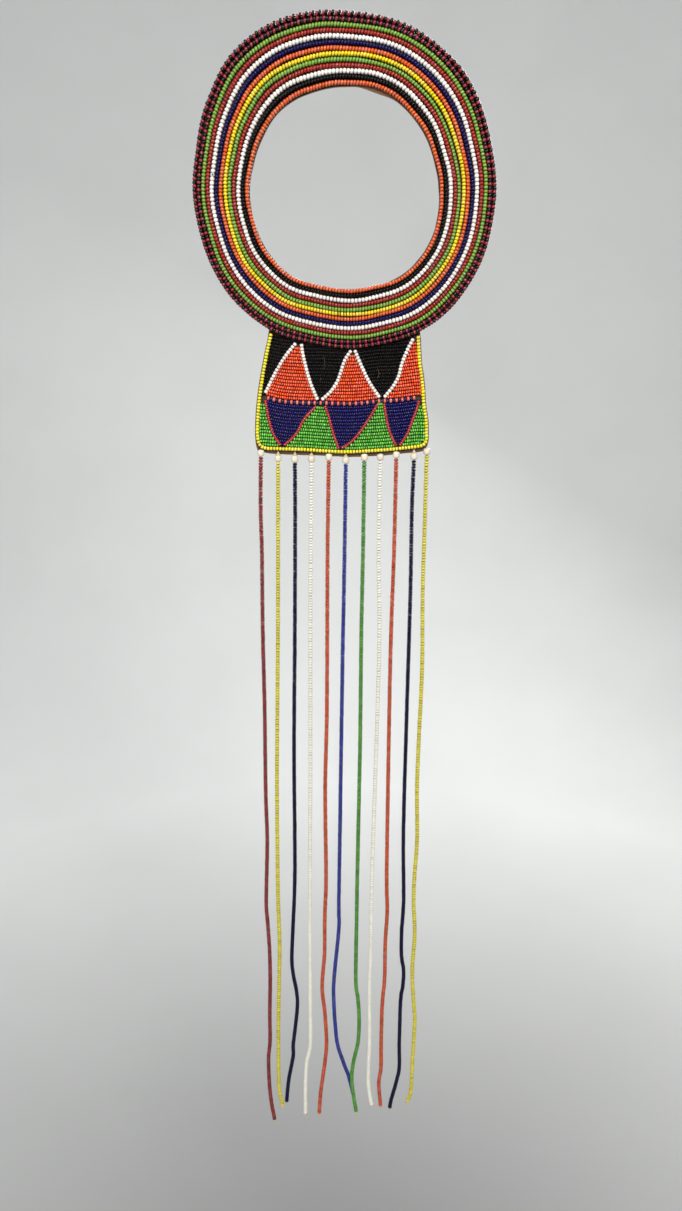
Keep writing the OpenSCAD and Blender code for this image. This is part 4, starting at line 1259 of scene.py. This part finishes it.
class COLLAR_OT_stitches(bpy.types.Operator):
    """Sews the stitches on the back of the leather and lays the loose fibres"""

    bl_idname = "collar.stitches"
    bl_label = "Stitches"

    def execute(self, context):
        sizes = context.scene.collar_sizes
        rng = seeded("stitches")
        back = sizes.ring_t / 2 + STITCH_SEAT * MM
        flat = [1, 0, 1]
        skins = []
        apart, length, width = RING_STITCH
        for index in range(len(ROWS)):
            turns = int(2 * np.pi * row_radius(index, 90, sizes) / (apart * MM))
            angle = (np.arange(turns) + rng.random()) * 360 / turns + rng.normal(0, 0.3, turns)
            place = ring_point(angle, row_radius(index, angle, sizes), back, sizes)
            # None where the panel laps behind the ring
            bare = (place[:, 2] > LAP_LOW) | (np.abs(place[:, 0]) > LAP_HALF)
            place, a = place[bare], np.radians(angle[bare])
            axis = np.stack([-np.cos(a), 0 * a, np.sin(a)], axis=-1)
            axis = unit(axis + rng.normal(0, 0.06, axis.shape) * flat)
            skins.append(stitch_skins(place, axis, rng.normal(length, 0.3, len(a)) * MM,
                                      width * MM, rng))
        depth = panel_depth(sizes) + sizes.panel_t + STITCH_SEAT * MM
        apart, length, width = PANEL_STITCH
        left, right = STITCH_SPAN
        for level in np.arange(*STITCH_LEVELS):
            x = np.arange(left + rng.random() * 3, right, apart) + rng.normal(0, 0.3, 1)
            place = on_panel(np.stack([x, np.full(len(x), level)], axis=-1), depth)
            axis = unit(np.array([1.0, 0, 0]) + rng.normal(0, 0.06, (len(x), 3)) * flat)
            skins.append(stitch_skins(place, axis, rng.normal(length, 0.3, len(x)) * MM,
                                      width * MM, rng))
        lap = np.radians(np.arange(-LAP_SPAN, LAP_SPAN + 1, LAP_STEP))
        reach = row_radius(len(ROWS) - 1, np.degrees(lap) % 360, sizes) - LAP_SEAM * MM
        place = np.stack([reach * np.sin(lap), np.full(len(lap), depth),
                          -sizes.neck_d / 2 - reach * np.cos(lap)], axis=-1)
        axis = unit(np.stack([0.35 * np.cos(lap) + np.sin(lap), 0 * lap,
                              0.35 * np.sin(lap) - np.cos(lap)], axis=-1))
        length, width = LAP_STITCH
        skins.append(stitch_skins(place, axis, length * MM, width * MM, rng, 8))
        add_piece("back_stitches", skins, [cotton(context)], values=THREAD_VALUES)
        front = panel_depth(sizes) - sizes.seat - sizes.fine_d - 0.05 * MM
        routes = [smooth_route(on_panel(fibre, front), 6) for fibre in FIBRES]
        fibres = [tube_skin(route, np.full(len(route), FIBRE_RADIUS * MM), 4)
                  for route in routes]
        add_piece("loose_fibres", fibres, [cotton(context)], values=THREAD_VALUES)
        return {"FINISHED"}


def area_light(name, place, size, power, colour):
    """A square soft light at a place, turned towards the lights' aim."""
    data = bpy.data.lights.new(name, "AREA")
    data.size, data.energy, data.color = size, power, colour
    lamp = bpy.data.objects.new(name, data)
    lamp.location = place
    lamp.rotation_euler = (Vector(LIGHT_AIM) - Vector(place)).to_track_quat(
        "-Z", "Y").to_euler()
    bpy.context.scene.collection.objects.link(lamp)


def add_camera(scene):
    """The camera, placed and tipped as for the picture."""
    data = bpy.data.cameras.new("camera")
    data.sensor_width = SENSOR
    data.lens = SENSOR * FOCAL_PIXELS / PICTURE_PIXELS
    data.clip_start = 0.01
    camera = bpy.data.objects.new("camera", data)
    camera.matrix_world = (Matrix.Translation(CAMERA_PLACE)
                           @ Matrix.Rotation(np.radians(CAMERA_TIP), 4, "X")
                           @ Matrix.Rotation(np.radians(CAMERA_ROLL), 4, "Z"))
    scene.collection.objects.link(camera)
    scene.camera = camera


def floor_skin():
    """A flat floor that goes up behind through a quarter circle: y = rise - curve
    + curve * sin t and z = curve - curve * cos t."""
    turn = np.linspace(0, np.pi / 2, 13)
    y = np.concatenate([[-FLOOR_REACH, 0.0], RISE_Y - CURVE + CURVE * np.sin(turn), [RISE_Y]])
    z = np.concatenate([[0.0, 0.0], CURVE - CURVE * np.cos(turn), [RISE]]) + FLOOR_Z
    x = np.linspace(-FLOOR_REACH, FLOOR_REACH, 11)
    points = np.stack(np.broadcast_arrays(x, y[:, None], z[:, None]), axis=-1)
    return {"points": points.reshape(-1, 3),
            "quads": grid_quads(len(y), len(x), wrap_columns=False)}


def floor_paint(colour):
    """Matt pale paint, faintly clouded, with a painted shadow that darkens it towards the spot
    below the collar.
    """
    material = bpy.data.materials.new("pale floor")
    material.use_nodes = True
    tree = material.node_tree
    shader = tree.nodes["Principled BSDF"]
    place = add_node(tree, "ShaderNodeTexCoord").outputs["Object"]
    # Distance from the spot below the collar, which sets the painted shadow
    off = add_node(tree, "ShaderNodeVectorMath", {0: place, 1: (0, 0.1, FLOOR_Z)},
                   operation="DISTANCE").outputs["Value"]
    # Faint clouds times a painted shadow that darkens towards the spot below the collar
    cloud_and_painted_shadow = maths(tree, "MULTIPLY", ranged(tree, noise(tree, 3.0, 3.0), 0.97, 1.02, 0.3, 0.7),
                  ranged(tree, off, 0.2, 0.97, 0.0, 1.55))
    tree.links.new(toned(tree, (*colour, 1), cloud_and_painted_shadow), shader.inputs["Base Color"])
    shader.inputs["Roughness"].default_value = 0.9
    return material


class COLLAR_OT_stage(bpy.types.Operator):
    """Sets the camera, the soft lights and the pale floor that curves up behind"""

    bl_idname = "collar.stage"
    bl_label = "Stage"

    def execute(self, context):
        scene = context.scene
        add_camera(scene)
        floor = bpy.data.objects.new("floor", new_mesh("floor", [floor_skin()], ()))
        scene.collection.objects.link(floor)
        floor.data.materials.append(floor_paint(scene.collar_colours.floor))
        world = bpy.data.worlds.new("studio")
        world.use_nodes = True
        sky = world.node_tree.nodes["Background"]
        sky.inputs["Color"].default_value = SKY_COLOUR
        sky.inputs["Strength"].default_value = SKY_POWER
        scene.world = world
        for light in LIGHTS:
            area_light(*light)
        scene.view_settings.view_transform = "Standard"
        return {"FINISHED"}


STEPS = [
    COLLAR_OT_stage, COLLAR_OT_ring_leather, COLLAR_OT_ring_rows, COLLAR_OT_panel_leather,
    COLLAR_OT_panel_strings, COLLAR_OT_panel_fields, COLLAR_OT_head_beads,
    COLLAR_OT_strands, COLLAR_OT_stitches,
]


class COLLAR_PT_sidebar(bpy.types.Panel):
    """Lists the collar's pieces, sizes and colours"""

    bl_idname = "COLLAR_PT_sidebar"
    bl_label = "Beaded Collar"
    bl_space_type = "VIEW_3D"
    bl_region_type = "UI"
    bl_category = "Collar"

    def draw(self, context):
        for step in STEPS:
            self.layout.operator(step.bl_idname)
        for group in (context.scene.collar_sizes, context.scene.collar_colours):
            for key in group.__annotations__:
                self.layout.prop(group, key)


CLASSES = [CollarSizes, CollarColours, *STEPS, COLLAR_PT_sidebar]


def register():
    """Registers the classes and hangs the settings on the scene."""
    for cls in CLASSES:
        bpy.utils.register_class(cls)
    bpy.types.Scene.collar_sizes = bpy.props.PointerProperty(type=CollarSizes)
    bpy.types.Scene.collar_colours = bpy.props.PointerProperty(type=CollarColours)


def unregister():
    """Takes the settings and the classes away again."""
    del bpy.types.Scene.collar_sizes
    del bpy.types.Scene.collar_colours
    for cls in reversed(CLASSES):
        bpy.utils.unregister_class(cls)


def main():
    register()
    for step in STEPS:
        family, action = step.bl_idname.split(".")
        getattr(getattr(bpy.ops, family), action)()


if __name__ == "__main__":
    main()
